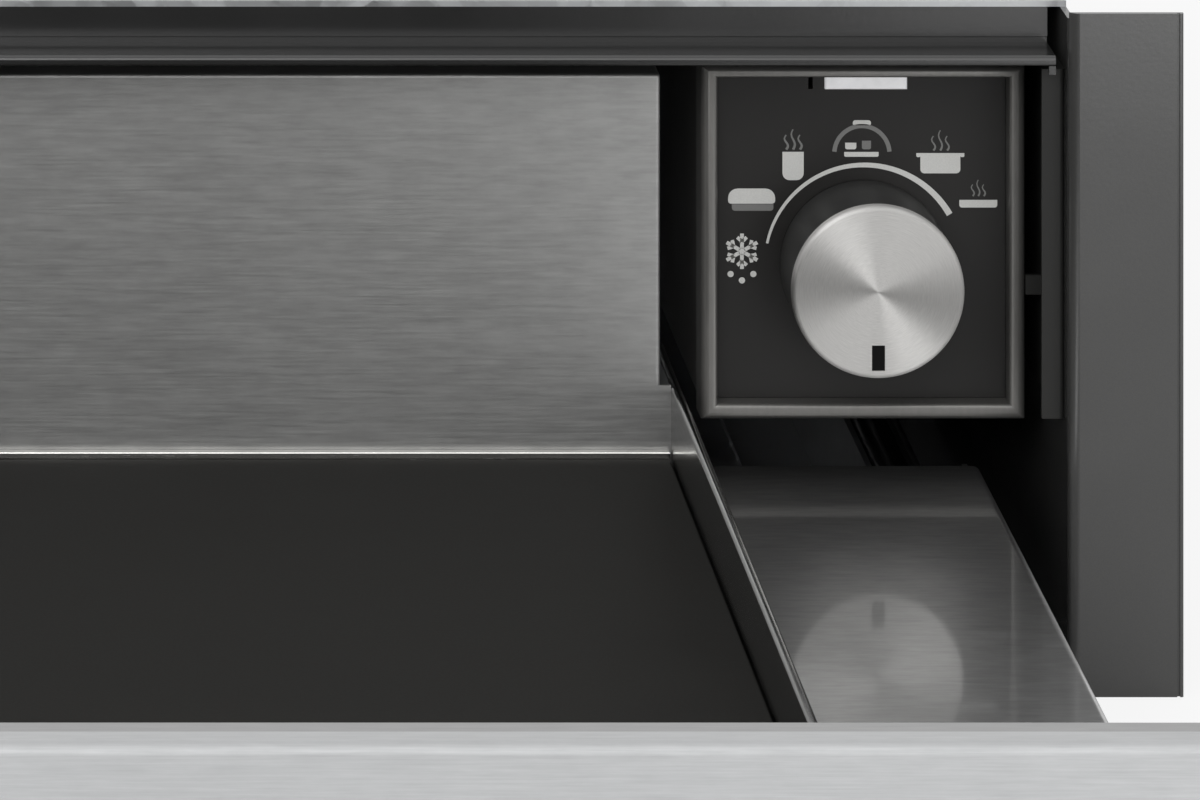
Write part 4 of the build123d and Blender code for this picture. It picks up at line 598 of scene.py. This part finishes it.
# ---------------------------------------------------------------- what repeats
def repeat_tree():
    """Nodes that stand a form on every spot, each turned by chance about its own axis."""
    tree = bpy.data.node_groups.new("repeat_on_spots", "GeometryNodeTree")
    sockets = (("Spots", "INPUT", "NodeSocketGeometry"), ("Form", "INPUT", "NodeSocketObject"),
               ("Size", "INPUT", "NodeSocketFloat"), ("Turn", "INPUT", "NodeSocketFloat"),
               ("Seed", "INPUT", "NodeSocketInt"), ("Material", "INPUT", "NodeSocketMaterial"),
               ("Pieces", "OUTPUT", "NodeSocketGeometry"))
    for name, direction, kind in sockets:
        tree.interface.new_socket(name=name, in_out=direction, socket_type=kind)

    def node(kind, inputs=None, **options):
        return add_node(tree, kind, inputs, **options)

    given = node("NodeGroupInput").outputs
    form = node("GeometryNodeObjectInfo", {"Object": given["Form"]})
    outward = node("GeometryNodeInputNamedAttribute", {"Name": "outward"}, data_type="FLOAT_VECTOR")
    aim = node("FunctionNodeAlignRotationToVector", {"Vector": outward.outputs["Attribute"]}, axis="Z")
    chance = node("FunctionNodeRandomValue", {3: given["Turn"], "Seed": given["Seed"]}, data_type="FLOAT")
    turn = node("FunctionNodeAxisAngleToRotation", {"Axis": (0.0, 0.0, 1.0), "Angle": chance.outputs[1]})
    facing = node("FunctionNodeRotateRotation",
                  {"Rotation": aim.outputs[0], "Rotate By": turn.outputs[0]}, rotation_space="LOCAL")
    stand = node("GeometryNodeInstanceOnPoints",
                 {"Points": given["Spots"], "Instance": form.outputs["Geometry"],
                  "Rotation": facing.outputs[0], "Scale": given["Size"]})
    real = node("GeometryNodeRealizeInstances", {"Geometry": stand.outputs[0]})
    painted = node("GeometryNodeSetMaterial",
                   {"Geometry": real.outputs[0], "Material": given["Material"]})
    node("NodeGroupOutput", {0: painted.outputs[0]})
    return tree


def repeat(name, form, spots, material, seed):
    """One plain mesh with the form on every spot; a spot is a place and its outward direction."""
    tree = bpy.data.node_groups.get("repeat_on_spots") or repeat_tree()
    mesh = bpy.data.meshes.new(name)
    mesh.from_pydata([tuple(place) for place, outward in spots], [], [])
    aims = mesh.attributes.new("outward", "FLOAT_VECTOR", "POINT")
    for i, (place, outward) in enumerate(spots):
        aims.data[i].vector = outward
    carrier = linked(bpy.data.objects.new("spots", mesh))
    source = linked(bpy.data.objects.new("form", form))
    modifier = carrier.modifiers.new("repeat", "NODES")
    modifier.node_group = tree
    values = {"Form": source, "Size": 1.0, "Turn": math.tau, "Seed": seed, "Material": material}
    for item in tree.interface.items_tree:
        if item.name in values:
            modifier[item.identifier] = values[item.name]
    grown = applied(carrier, name)
    carrier.modifiers.remove(modifier)
    for item in (carrier, source):
        bpy.data.objects.remove(item)
    return grown


def loose_solids(node):
    """The corner points of each solid of a CAD node."""
    bm = bmesh.new()
    bm.from_mesh(frame["nodes"][node].data)
    bmesh.ops.remove_doubles(bm, verts=bm.verts, dist=WELD)
    waiting = set(bm.verts)
    solids = []
    while waiting:
        reached = [waiting.pop()]
        for vert in reached:
            for edge in vert.link_edges:
                other = edge.other_vert(vert)
                if other in waiting:
                    waiting.remove(other)
                    reached.append(other)
        solids.append([vert.co.copy() for vert in reached])
    bm.free()
    return solids


def fastener_spots(node):
    """Top of the head and outward direction of every screw or rivet of a CAD node."""
    spots = []
    for points in loose_solids(node):
        low = Vector([min(p[k] for p in points) for k in range(3)])
        high = Vector([max(p[k] for p in points) for k in range(3)])
        size, centre = high - low, (high + low) / 2
        # the head is round, so the axis is the one side whose length isn't shared
        axis = max(range(3), key=lambda k: min(abs(size[k] - size[m]) for m in range(3) if m != k))
        reach = [math.hypot(*[p[k] - centre[k] for k in range(3) if k != axis]) for p in points]
        edge = 0.97 * max(reach)
        rim = [p[axis] for p, r in zip(points, reach) if r > edge]
        outward = Vector((0.0, 0.0, 0.0))
        outward[axis] = 1.0 if sum(rim) / len(rim) > centre[axis] else -1.0
        place = centre.copy()
        place[axis] = high[axis] if outward[axis] > 0 else low[axis]
        spots.append((place, outward))
    return spots


def turned(profile, steps):
    """Closed form round the Z axis; the profile is a list of (radius, z), poles at its ends."""
    bm = bmesh.new()
    rings = []
    for radius, z in braced(profile, False):
        angles = [2 * math.pi * i / steps for i in range(steps)] if radius > 0 else [0.0]
        rings.append([bm.verts.new((radius * math.cos(a), radius * math.sin(a), z)) for a in angles])
    for one, two in zip(rings, rings[1:]):
        for i in range(steps):
            j = (i + 1) % steps
            corners = [one[i % len(one)], one[j % len(one)], two[j % len(two)], two[i % len(two)]]
            bm.faces.new(list(dict.fromkeys(corners)))
    return mesh_from(bm, "turned", SHARP_TURNED)


def cross_recess(reach, depth):
    """Tapered cross that is sunk into a screw head from above Z = 0."""
    arm = 0.34 * reach
    plan = [(arm, arm), (arm, reach), (-arm, reach), (-arm, arm), (-reach, arm), (-reach, -arm),
            (-arm, -arm), (-arm, -reach), (arm, -reach), (arm, -arm), (reach, -arm), (reach, arm)]
    bm = bmesh.new()
    levels = ((-depth, 0.45), (0.5 * MM, 1.15))
    prism(bm, *[[(x * grow, y * grow, z) for x, y in plan] for z, grow in levels])
    return mesh_from(bm, "cross")


def dome(radius, edge):
    """Profile of a flat head from its middle out to its rounded edge."""
    return [(0.0, 0.0)] + arc_points(radius - edge, -edge, edge, 0, 90, 5)[::-1]


def flush_screw(shape):
    """Countersunk screw with a cross recess, its flat head level with Z = 0."""
    head, edge, cone = 2.95 * MM, 0.12 * MM, 1.2 * MM
    shank, point, end = 1.75 * MM, 0.3 * MM, 2.4 * MM
    body = turned([(0.0, 0.0), (head - edge, 0.0), (head, -edge), (shank, -cone),
                   (shank, point - end), (shank - point, -end), (0.0, -end)], shape.steps)
    return cut_away(body, cross_recess(shape.recess * head, shape.recess_depth), "flush_screw")


def pan_screw(shape):
    """Domed screw with a cross recess and a few turns of thread."""
    head, edge, rise = 3.5 * MM, 1.2 * MM, 2.1 * MM
    shank, core, point, end = 1.75 * MM, 1.4 * MM, 1.15 * MM, 8.1 * MM
    pitch, runout = 1.0 * MM, 0.4 * MM
    profile = dome(head, edge) + [(head, -rise), (shank, -rise)]
    for turn in range(int((end - rise) / pitch) - 1):
        start = -rise - runout - turn * pitch
        profile += [(core, start), (shank, start - pitch / 2)]
    profile += [(point, -end), (0.0, -end)]
    cross = cross_recess(shape.recess * head, 1.3 * shape.recess_depth)
    return cut_away(turned(profile, shape.steps), cross, "pan_screw")


def blind_rivet(shape, reach):
    """Domed rivet head with the dimple of its pulled mandrel."""
    head, edge, rise, shank = 4.5 * MM, 0.9 * MM, 1.4 * MM, 2.5 * MM
    hole, taper, dimple = 1.3 * MM, 0.2 * MM, 0.7 * MM
    profile = [(0.0, -dimple), (hole - taper, -dimple), (hole, 0.0)] + dome(head, edge)[1:]
    profile += [(head, -rise), (shank, -rise), (shank, -reach), (0.0, -reach)]
    return turned(profile, shape.steps)


# ---------------------------------------------------------------- stage
WHITE = (1.0, 1.0, 1.0, 1.0)
FLOOR_GAP = 0.3 * MM

# Soft lamps: width and height, place, and the point that they face, all in metres
DRAWER_MIDDLE = (0.1, 0.0, 0.08)
KEY_LAMP = ((1.6, 1.1), (-0.55, -2.1, 1.15), DRAWER_MIDDLE)
SIDE_LAMP = ((0.7, 0.7), (0.55, -1.1, 0.65), DRAWER_MIDDLE)
LOW_LAMP = ((0.4, 0.5), (0.54, -0.6, 0.02), (0.5, -0.3, 0.6))


def make_world(light):
    """White all round for the eye and for mirrors, dimmer daylight for the rest."""
    world = bpy.data.worlds.new("studio")
    world.use_nodes = True
    tree = world.node_tree
    tree.nodes.clear()
    rays = add_node(tree, "ShaderNodeLightPath").outputs
    through = add_node(tree, "ShaderNodeMath", {0: rays["Is Transmission Ray"], 1: rays["Is Glossy Ray"]},
                       operation="MAXIMUM")
    seen = add_node(tree, "ShaderNodeMath", {0: rays["Is Camera Ray"], 1: through.outputs[0]},
                    operation="MAXIMUM")
    level = add_node(tree, "ShaderNodeMapRange",
                     {"Value": seen.outputs[0], "To Min": light.daylight, "To Max": 1.0})
    sky = add_node(tree, "ShaderNodeBackground", {"Color": WHITE, "Strength": level.outputs[0]})
    add_node(tree, "ShaderNodeOutputWorld", {"Surface": sky.outputs[0]})
    bpy.context.scene.world = world


def make_floor(light):
    """Pale floor just under the base plate."""
    half = light.floor_size / 2
    foot = CAD_BOX[0].z - FLOOR_GAP
    bm = bmesh.new()
    corners = [(-half, -half), (half, -half), (half, half), (-half, half)]
    bm.faces.new([bm.verts.new((x, y, foot)) for x, y in corners])
    floor = linked(bpy.data.objects.new("floor", mesh_from(bm, "floor")))
    material = bpy.data.materials.new("studio_floor")
    material.use_nodes = True
    tree = material.node_tree
    tree.nodes.clear()
    rays = add_node(tree, "ShaderNodeLightPath").outputs
    amount = add_node(tree, "ShaderNodeMath", {0: rays["Is Camera Ray"], 1: light.floor_glow},
                      operation="MULTIPLY")
    matt = add_node(tree, "ShaderNodeBsdfDiffuse", {"Color": (*light.floor_colour, 1.0)})
    glow = add_node(tree, "ShaderNodeEmission", {"Color": WHITE})
    blend = add_node(tree, "ShaderNodeMixShader",
                     {0: amount.outputs[0], 1: matt.outputs[0], 2: glow.outputs[0]})
    add_node(tree, "ShaderNodeOutputMaterial", {"Surface": blend.outputs[0]})
    floor.data.materials.append(material)


def add_lamp(name, power, size, place, target):
    """Square soft lamp that faces a target and stays out of the picture."""
    lamp = bpy.data.lights.new(name, "AREA")
    lamp.shape = "RECTANGLE"
    lamp.size, lamp.size_y = size
    lamp.energy = power
    stand = linked(bpy.data.objects.new(name, lamp))
    stand.location = place
    stand.rotation_euler = (Vector(target) - Vector(place)).to_track_quat("-Z", "Y").to_euler()
    stand.visible_camera = False


def add_camera():
    """Camera at the photo's eye, its picture plane parallel to the drawer's front."""
    camera = bpy.data.cameras.new("camera")
    eye = linked(bpy.data.objects.new("camera", camera))
    stand = linked(bpy.data.objects.new("camera_stand", None))
    across = (PHOTO_WIDTH / 2 - VANISH_X) / PIXELS_AT_ONE_METRE
    down = (PHOTO_HEIGHT / 2 - VANISH_Y) / PIXELS_AT_ONE_METRE
    ray = Vector((across, 1.0, -down))
    reach = PIXELS_AT_ONE_METRE * ray.length
    ray.normalize()
    eye.parent = stand
    eye.matrix_parent_inverse = Matrix(((1, 0, -ray.x, 0), (0, 0, -ray.y, EYE_Y),
                                        (0, 1, -ray.z, EYE_Z), (0, 0, 0, 1)))
    camera.sensor_width = SENSOR
    camera.lens = SENSOR * reach / PHOTO_WIDTH
    bpy.context.scene.camera = eye


class WARMINGDRAWER_OT_stage(Operator):
    """Set the floor, the daylight, the lamps and the camera"""
    bl_idname = "warming_drawer.stage"
    bl_label = "Stage"

    def execute(self, context):
        light = settings().stage
        make_world(light)
        make_floor(light)
        add_lamp("key_lamp", light.key_power, *KEY_LAMP)
        add_lamp("side_lamp", light.side_power, *SIDE_LAMP)
        add_lamp("low_lamp", light.low_power, *LOW_LAMP)
        add_camera()
        context.scene.view_settings.view_transform = "Standard"
        return {"FINISHED"}


# ---------------------------------------------------------------- steps
class WARMINGDRAWER_OT_finishes(Operator):
    """Make every finish of the drawer"""
    bl_idname = "warming_drawer.finishes"
    bl_label = "Finishes"

    def execute(self, context):
        make_finishes(settings().finish)
        return {"FINISHED"}


class Dressing:
    """A step that gives CAD nodes their finish, from its table of finishes and nodes."""

    def execute(self, context):
        for finish, nodes in self.table.items():
            dress(nodes, finish)
        return {"FINISHED"}


class WARMINGDRAWER_OT_housing(Dressing, Operator):
    """Dress the housing's sheets and rear fittings"""
    bl_idname = "warming_drawer.housing"
    bl_label = "Housing"
    table = {
        "housing_paint": ("side_panel_left", "side_panel_right"),
        # the strip beside the controls wears the darker copy of the coat: painted shade
        "bracket_paint_shaded": ("control_bracket",),
        "galvanised_steel": ("base_plate", "top_cover", "rear_panel", "control_hanger", "latch_bracket",
                             "runner_brackets"),
        "moulded_black": ("cable_gland", "gland_locknut", "terminal_cover"),
        "moulded_grey": ("terminal_block", "latch_body", "latch_plunger"),
    }


class WARMINGDRAWER_OT_rail(Operator):
    """Fold the rail across the opening: rounded hem, ledge, creased web and foot"""
    bl_idname = "warming_drawer.rail"
    bl_label = "Rail"

    def execute(self, context):
        rail = settings().rail
        low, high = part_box("top_rail")
        top, sheet = high.z - rail.drop, rail.sheet
        web, front = low.y + rail.ledge, low.y
        bend = rail.bend
        back, groove = web + sheet + rail.foot, web + rail.crease_depth
        slope = 0.4 * rail.crease_depth
        section = arc_points(front + bend, top - bend, bend, 180, 90, 5)
        section += [(groove, top), (groove, top + rail.crease), (web, top + rail.crease + slope),
                    (web, high.z), (back, high.z), (back, high.z - sheet), (web + sheet, high.z - sheet),
                    (web + sheet, top - sheet), (front + sheet, top - sheet),
                    (front + sheet, top - rail.hem)]
        section += arc_points(front + bend / 2, top - rail.hem + bend / 2, bend / 2, 270, 180, 3)
        bm = bmesh.new()
        extrude_x(bm, braced(section), low.x, high.x)
        for start, end in ((low.x, low.x + rail.tab), (high.x - rail.tab, high.x)):
            tab = [(front, top - rail.tab_drop), (front, top - rail.hem), (front + sheet, top - rail.hem),
                   (front + sheet, top - rail.tab_drop)]
            extrude_x(bm, tab, start, end)
        mesh = mesh_from(bm, "rail", SHARP)
        # the rail wears the darker copy of the flanges' coat, a painted shade
        piece = add_piece("rail", mesh, "housing", "housing_paint", "rail_paint_shaded")
        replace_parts(piece, "top_rail")
        return {"FINISHED"}


def extrude_x(bm, section, start, end):
    """Closed bar along X from a section in (Y, Z)."""
    prism(bm, *[[(x, y, z) for y, z in section] for x in (start, end)])


class WARMINGDRAWER_OT_fasteners(Operator):
    """Set the screws and rivets where the sheets have their holes"""
    bl_idname = "warming_drawer.fasteners"
    bl_label = "Screws and Rivets"

    def execute(self, context):
        shape = settings().fastener
        metal = finish_of("screw_steel")
        housing = fastener_spots("housing_screws")
        flush = [spot for spot in housing if spot[1].z != 0.0]
        pan = [spot for spot in housing if spot[1].z == 0.0]
        front = fastener_spots("front_screws")
        side = fastener_spots("side_rivets")
        skirt = fastener_spots("skirt_rivets")
        jobs = (("cover_screws", flush_screw(shape), flush, "housing", "housing_screws"),
                ("panel_screws", pan_screw(shape), pan, "housing", "housing_screws"),
                ("bracket_screws", pan_screw(shape), front, "drawer", "front_screws"),
                ("housing_rivets", blind_rivet(shape, HOUSING_RIVET), side, "housing", "side_rivets"),
                ("skirt_rivet_heads", blind_rivet(shape, SKIRT_RIVET), skirt, "drawer", "skirt_rivets"))
        for name, form, spots, body, node in jobs:
            mesh = repeat(name, form, spots, metal, shape.seed)
            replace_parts(add_piece(name, mesh, body, "screw_steel"), node)
        return {"FINISHED"}


class WARMINGDRAWER_OT_drawer(Dressing, Operator):
    """Dress the drawer's front, walls, floor, heater and brackets"""
    bl_idname = "warming_drawer.drawer"
    bl_label = "Drawer"
    table = {
        "front_steel": ("front_panel",),
        # the liner wears the darker copy of the front's steel: painted shade
        "liner_steel_shaded": ("front_liner",),
        "drawer_steel": ("carrier_left", "rear_wall"),
        "tray_steel": ("side_tray",),
        "wall_steel": ("side_wall_left", "side_wall_right"),
        "galvanised_steel": ("floor_plate", "front_bracket_left", "front_bracket_right", "heater_cover"),
        "bright_trim": ("glass_trim",),
        "dark_glass": ("glass_plate",),
        "front_foam": ("front_core",),
        "buffer_rubber": ("front_bumpers",),
        "silicone_red": ("heating_mat",),
        "insulation_white": ("heater_insulation",),
        "moulded_black": ("temperature_limiter",),
    }


class WARMINGDRAWER_OT_runners(Dressing, Operator):
    """Dress the telescopic runners and their ball cages"""
    bl_idname = "warming_drawer.runners"
    bl_label = "Runners"
    table = {
        "runner_steel": [f"runner_{member}_{side}" for side in ("left", "right")
                         for member in ("outer", "middle", "inner")],
        "bright_trim": [f"ball_cage_{member}_{side}" for side in ("left", "right")
                        for member in ("outer", "inner")],
    }


class WARMINGDRAWER_OT_controls(Dressing, Operator):
    """Dress the control panel, its housing, lamp and switch"""
    bl_idname = "warming_drawer.controls"
    bl_label = "Controls"
    table = {
        "panel_black": ("control_panel",),
        "marker_black": ("knob_marker",),
        # the control housing wears the lighter copy of the moulded black: painted light
        "module_black_lit": ("control_housing",),
        "moulded_black": ("rotary_switch", "knob_core"),
        "lens_white": ("indicator_lens",),
        "moulded_grey": ("indicator_lamp",),
        "board_green": ("control_board",),
        "screw_steel": ("switch_nut", "switch_shaft"),
    }


class WARMINGDRAWER_OT_bezel(Operator):
    """Make the frame of the controls, rounded inside and out"""
    bl_idname = "warming_drawer.bezel"
    bl_label = "Control Frame"

    def execute(self, context):
        shape = settings().frame
        low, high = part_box("control_bezel")
        high.z += shape.head_rise
        outer, inner, border = shape.outer_edge, shape.inner_edge, shape.border
        # (inset from the outer edge, Y) once across the frame, from its back to its back
        across = [(0.0, high.y)]
        across += arc_points(outer, low.y + outer, outer, 180, 270, 6)
        across += arc_points(border - inner, low.y + inner, inner, 270, 360, 5)
        across += [(border, high.y)]
        head = shape.top_border / border
        bm = bmesh.new()
        loops = []
        for inset, y in braced(across, False):
            corners = ((low.x + inset, low.z + inset), (high.x - inset, low.z + inset),
                       (high.x - inset, high.z - inset * head), (low.x + inset, high.z - inset * head))
            loops.append([bm.verts.new((x, y, z)) for x, z in corners])
        for one, two in zip(loops, loops[1:] + loops[:1]):
            join_loops(bm, one, two)
        piece = add_piece("control_frame", mesh_from(bm, "control_frame", SHARP), "housing", "bezel_metal")
        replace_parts(piece, "control_bezel")
        return {"FINISHED"}


# ---------------------------------------------------------------- printed marks
def knob_axis():
    """X and Z of the knob's axis, and the knob's radius."""
    low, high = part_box("knob")
    return (low.x + high.x) / 2, (low.z + high.z) / 2, (high.x - low.x) / 2


class Ink:
    """Flat marks on the panel, each a thin closed plate. X and Z are in mm from the knob's axis."""

    def __init__(self, thickness):
        self.bm = bmesh.new()
        self.axis_x, self.axis_z = knob_axis()[:2]
        self.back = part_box("control_panel")[0].y
        self.front = self.back - thickness

    def plate(self, points):
        """Closed outline."""
        spots = [(self.axis_x + x * MM, self.axis_z + z * MM) for x, z in points]
        prism(self.bm, *[[(x, y, z) for x, z in spots] for y in (self.back, self.front)])

    def bar(self, x, z, width, height, foot=0.0, head=0.0):
        """Upright rectangle round a centre, its lower and upper corners rounded."""
        points = []
        corners = ((1, 1, head, 0), (-1, 1, head, 90), (-1, -1, foot, 180), (1, -1, foot, 270))
        for side_x, side_z, radius, turn in corners:
            centre_x = x + side_x * (width / 2 - radius)
            centre_z = z + side_z * (height / 2 - radius)
            if radius > 0:
                points += arc_points(centre_x, centre_z, radius, turn, turn + 90, 5)
            else:
                points.append((centre_x, centre_z))
        self.plate(points)

    def disc(self, x, z, radius):
        """Round dot."""
        self.plate(arc_points(x, z, radius, 0, 360, 20)[:-1])

    def stroke(self, points, start, end):
        """Line through points whose width changes evenly from start to end."""
        last = len(points) - 1
        left, right = [], []
        for i, (x, z) in enumerate(points):
            ahead = Vector(points[min(i + 1, last)]) - Vector(points[max(i - 1, 0)])
            across = Vector((-ahead.y, ahead.x)).normalized() * (start + (end - start) * i / last) / 2
            left.append((x + across.x, z + across.y))
            right.append((x - across.x, z - across.y))
        self.plate(left + right[::-1])

    def piece(self, name, finish):
        """The finished marks as one piece on the housing."""
        add_piece(name, mesh_from(self.bm, name), "housing", "lens_white", finish)


def draw_steam(ink, x, z, height, width):
    """Three rising wisps, the middle one taller."""
    points_per_wisp = 9
    for offset, reach in ((-0.34, 0.72), (0.0, 1.0), (0.34, 0.72)):
        points = []
        for i in range(points_per_wisp):
            rise = i / (points_per_wisp - 1)
            sway = 0.09 * height * math.sin(2 * math.pi * rise)
            points.append((x + offset * height + sway, z + rise * reach * height))
        ink.stroke(points, width, 0.5 * width)


def draw_snowflake(ink, x, z, reach, width):
    """Six arms, each with a pair of short branches, and three melting drops under them."""
    middle = Vector((x, z))
    for arm in range(6):
        turn = math.radians(90 + 60 * arm)
        ahead = Vector((math.cos(turn), math.sin(turn))) * reach
        ink.stroke([middle + 0.16 * ahead, middle + ahead], width, width)
        fork = middle + 0.55 * ahead
        for side in (-1, 1):
            lean = turn + side * math.radians(48)
            branch = Vector((math.cos(lean), math.sin(lean))) * 0.36 * reach
            ink.stroke([fork, fork + branch], width, 0.9 * width)
    ink.disc(x, z, 0.2 * reach)
    for across, down in ((-2.25, 4.5), (0.0, 5.75), (2.25, 4.5)):
        ink.disc(x + across, z - down, 0.62)


def draw_roll(light, grey):
    """Bread roll with its shaded foot."""
    light.bar(-22.2, 13.4, 9.3, 3.0, 0.6, 1.9)
    grey.bar(-22.0, 11.15, 8.2, 1.3, 0.6)


def draw_cup(light, grey, steam):
    """Cup with steam."""
    light.bar(-14.0, 19.35, 4.2, 5.6, 1.4)
    draw_steam(grey, -14.0, 22.6, steam, 0.5)


def draw_cover(light, grey):
    """Cup and glass on a plate, under a cover with a knob."""
    middle = -0.4
    grey.stroke(arc_points(middle, 21.8, 5.45, 4, 176, 40), 0.85, 0.85)
    light.bar(middle, 27.9, 3.6, 1.0, 0.3, 0.5)
    light.bar(-0.5, 21.65, 6.8, 0.95, 0.3)
    light.bar(-2.6, 23.3, 2.2, 1.3, 0.4)
    grey.bar(0.5, 23.5, 1.8, 1.7, 0.4)


def draw_casserole(light, grey, steam):
    """Casserole with two grips and steam."""
    middle = 15.1
    light.bar(middle, 19.9, 7.9, 4.0, 0.8)
    for side in (-1, 1):
        light.bar(middle + side * 4.35, 21.5, 0.8, 0.8, 0.3)
    draw_steam(grey, middle, 22.4, steam, 0.4)


def draw_plate(light, grey, steam):
    """Flat plate with steam."""
    middle = 22.6
    light.bar(middle, 11.9, 7.5, 1.5, 0.5)
    draw_steam(grey, middle, 13.4, 0.8 * steam, 0.35)


class WARMINGDRAWER_OT_print(Operator):
    """Print the symbols and the curved scale on the control panel"""
    bl_idname = "warming_drawer.print"
    bl_label = "Printed Marks"

    def execute(self, context):
        marks = settings().marks
        light, grey = Ink(marks.thickness), Ink(marks.thickness)
        steam = marks.steam_height / MM
        scale = arc_points(0.0, 0.0, marks.scale_radius / MM, 168, 30, 64)
        light.stroke(scale, marks.scale_start / MM, marks.scale_end / MM)
        draw_snowflake(light, -24.1, 2.5, marks.flake_radius / MM, marks.flake_stroke / MM)
        draw_roll(light, grey)
        draw_cup(light, grey, steam)
        draw_cover(light, grey)
        draw_casserole(light, grey, steam)
        draw_plate(light, grey, steam)
        light.piece("panel_marks_light", "print_light")
        grey.piece("panel_marks_grey", "print_grey")
        return {"FINISHED"}


# ---------------------------------------------------------------- knob
def lathe_y(profile, axis_x, axis_z, steps):
    """Closed surface round an axis along Y; the profile is a list of (radius, y), poles at its ends."""
    bm = bmesh.new()
    uv = bm.loops.layers.uv.new(SPUN_MAP)
    travel = [0.0]
    for (r0, y0), (r1, y1) in zip(profile, profile[1:]):
        travel.append(travel[-1] + math.hypot(r1 - r0, y1 - y0))
    rings = []
    for radius, y in profile:
        if radius == 0.0:
            rings.append([bm.verts.new((axis_x, y, axis_z))] * steps)
            continue
        angles = [2 * math.pi * i / steps for i in range(steps)]
        rings.append([bm.verts.new((axis_x + radius * math.cos(a), y, axis_z + radius * math.sin(a)))
                      for a in angles])
    for k in range(len(profile) - 1):
        for i in range(steps):
            j = (i + 1) % steps
            corners = [(rings[k][i], travel[k], i), (rings[k][j], travel[k], i + 1),
                       (rings[k + 1][j], travel[k + 1], i + 1), (rings[k + 1][i], travel[k + 1], i)]
            if rings[k][i] is rings[k][j]:
                corners = [(rings[k][i], travel[k], i + 0.5)] + corners[2:]
            elif rings[k + 1][i] is rings[k + 1][j]:
                corners = corners[:2] + [(rings[k + 1][i], travel[k + 1], i + 0.5)]
            face = bm.faces.new([corner[0] for corner in corners])
            for loop, corner in zip(face.loops, corners):
                loop[uv].uv = (corner[1], corner[2] / steps)
    return bm


class WARMINGDRAWER_OT_knob(Operator):
    """Turn the knob's metal cap with its rounded rim and the slot for the mark"""
    bl_idname = "warming_drawer.knob"
    bl_label = "Knob"

    def execute(self, context):
        shape = settings().knob
        axis_x, axis_z, radius = knob_axis()
        low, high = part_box("knob")
        rim, sheet = shape.rim, shape.sheet
        flat = radius - rim
        profile = [(flat * i / shape.rings, low.y) for i in range(shape.rings)]
        profile += arc_points(flat, low.y + rim, rim, 270, 360, 7)
        profile += [(radius, high.y), (radius - sheet, high.y), (radius - sheet, low.y + sheet),
                    (0.0, low.y + sheet)]
        spun = lathe_y(braced(profile, False), axis_x, axis_z, shape.steps)
        cap = mesh_from(spun, "knob_cap", SHARP)
        slot_low, slot_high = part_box("knob_marker")
        gap = 0.05 * MM
        bm = bmesh.new()
        bmesh.ops.create_cube(bm, size=1.0)
        span = Vector((slot_high.x - slot_low.x + gap, 4 * sheet, slot_high.z - slot_low.z + gap))
        centre = Vector(((slot_low.x + slot_high.x) / 2, low.y, (slot_low.z + slot_high.z) / 2))
        for vert in bm.verts:
            vert.co = Vector([c + s * v for c, s, v in zip(centre, span, vert.co)])
        mesh = cut_away(cap, mesh_from(bm, "slot"), "knob_cap")
        piece = add_piece("knob_cap", mesh, "knob", "knob_aluminium")
        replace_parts(piece, "knob")
        return {"FINISHED"}


# ---------------------------------------------------------------- sidebar
OPERATORS = (WARMINGDRAWER_OT_stage, WARMINGDRAWER_OT_finishes, WARMINGDRAWER_OT_housing,
             WARMINGDRAWER_OT_rail, WARMINGDRAWER_OT_fasteners, WARMINGDRAWER_OT_drawer,
             WARMINGDRAWER_OT_runners, WARMINGDRAWER_OT_controls, WARMINGDRAWER_OT_bezel,
             WARMINGDRAWER_OT_print, WARMINGDRAWER_OT_knob)


class WARMINGDRAWER_PT_sidebar(Panel):
    """Lists the steps that dress the drawer, with their sizes and colours"""
    bl_idname = "WARMINGDRAWER_PT_sidebar"
    bl_label = "Warming Drawer"
    bl_space_type = "VIEW_3D"
    bl_region_type = "UI"
    bl_category = "Warming Drawer"

    def draw(self, context):
        layout = self.layout
        for operator in OPERATORS:
            layout.operator(operator.bl_idname)
        shown = context.scene.warming_drawer
        for group in (shown.stage, shown.finish, shown.rail, shown.frame, shown.marks, shown.knob,
                      shown.fastener):
            box = layout.box()
            for name in group.bl_rna.properties.keys():
                if name not in ("rna_type", "name"):
                    box.prop(group, name)


CLASSES = (StageSettings, FinishSettings, RailSettings, FrameSettings, FastenerSettings, PrintSettings,
           KnobSettings, DrawerSettings) + OPERATORS + (WARMINGDRAWER_PT_sidebar,)


def register():
    """Add the classes and the scene's settings."""
    for item in CLASSES:
        bpy.utils.register_class(item)
    bpy.types.Scene.warming_drawer = PointerProperty(type=DrawerSettings)


def unregister():
    """Remove what register added."""
    del bpy.types.Scene.warming_drawer
    for item in reversed(CLASSES):
        bpy.utils.unregister_class(item)


def main():
    """Register the classes and dress the drawer step by step."""
    register()
    for operator in OPERATORS:
        group, name = operator.bl_idname.split(".")
        getattr(getattr(bpy.ops, group), name)()


if __name__ == "__main__":
    main()
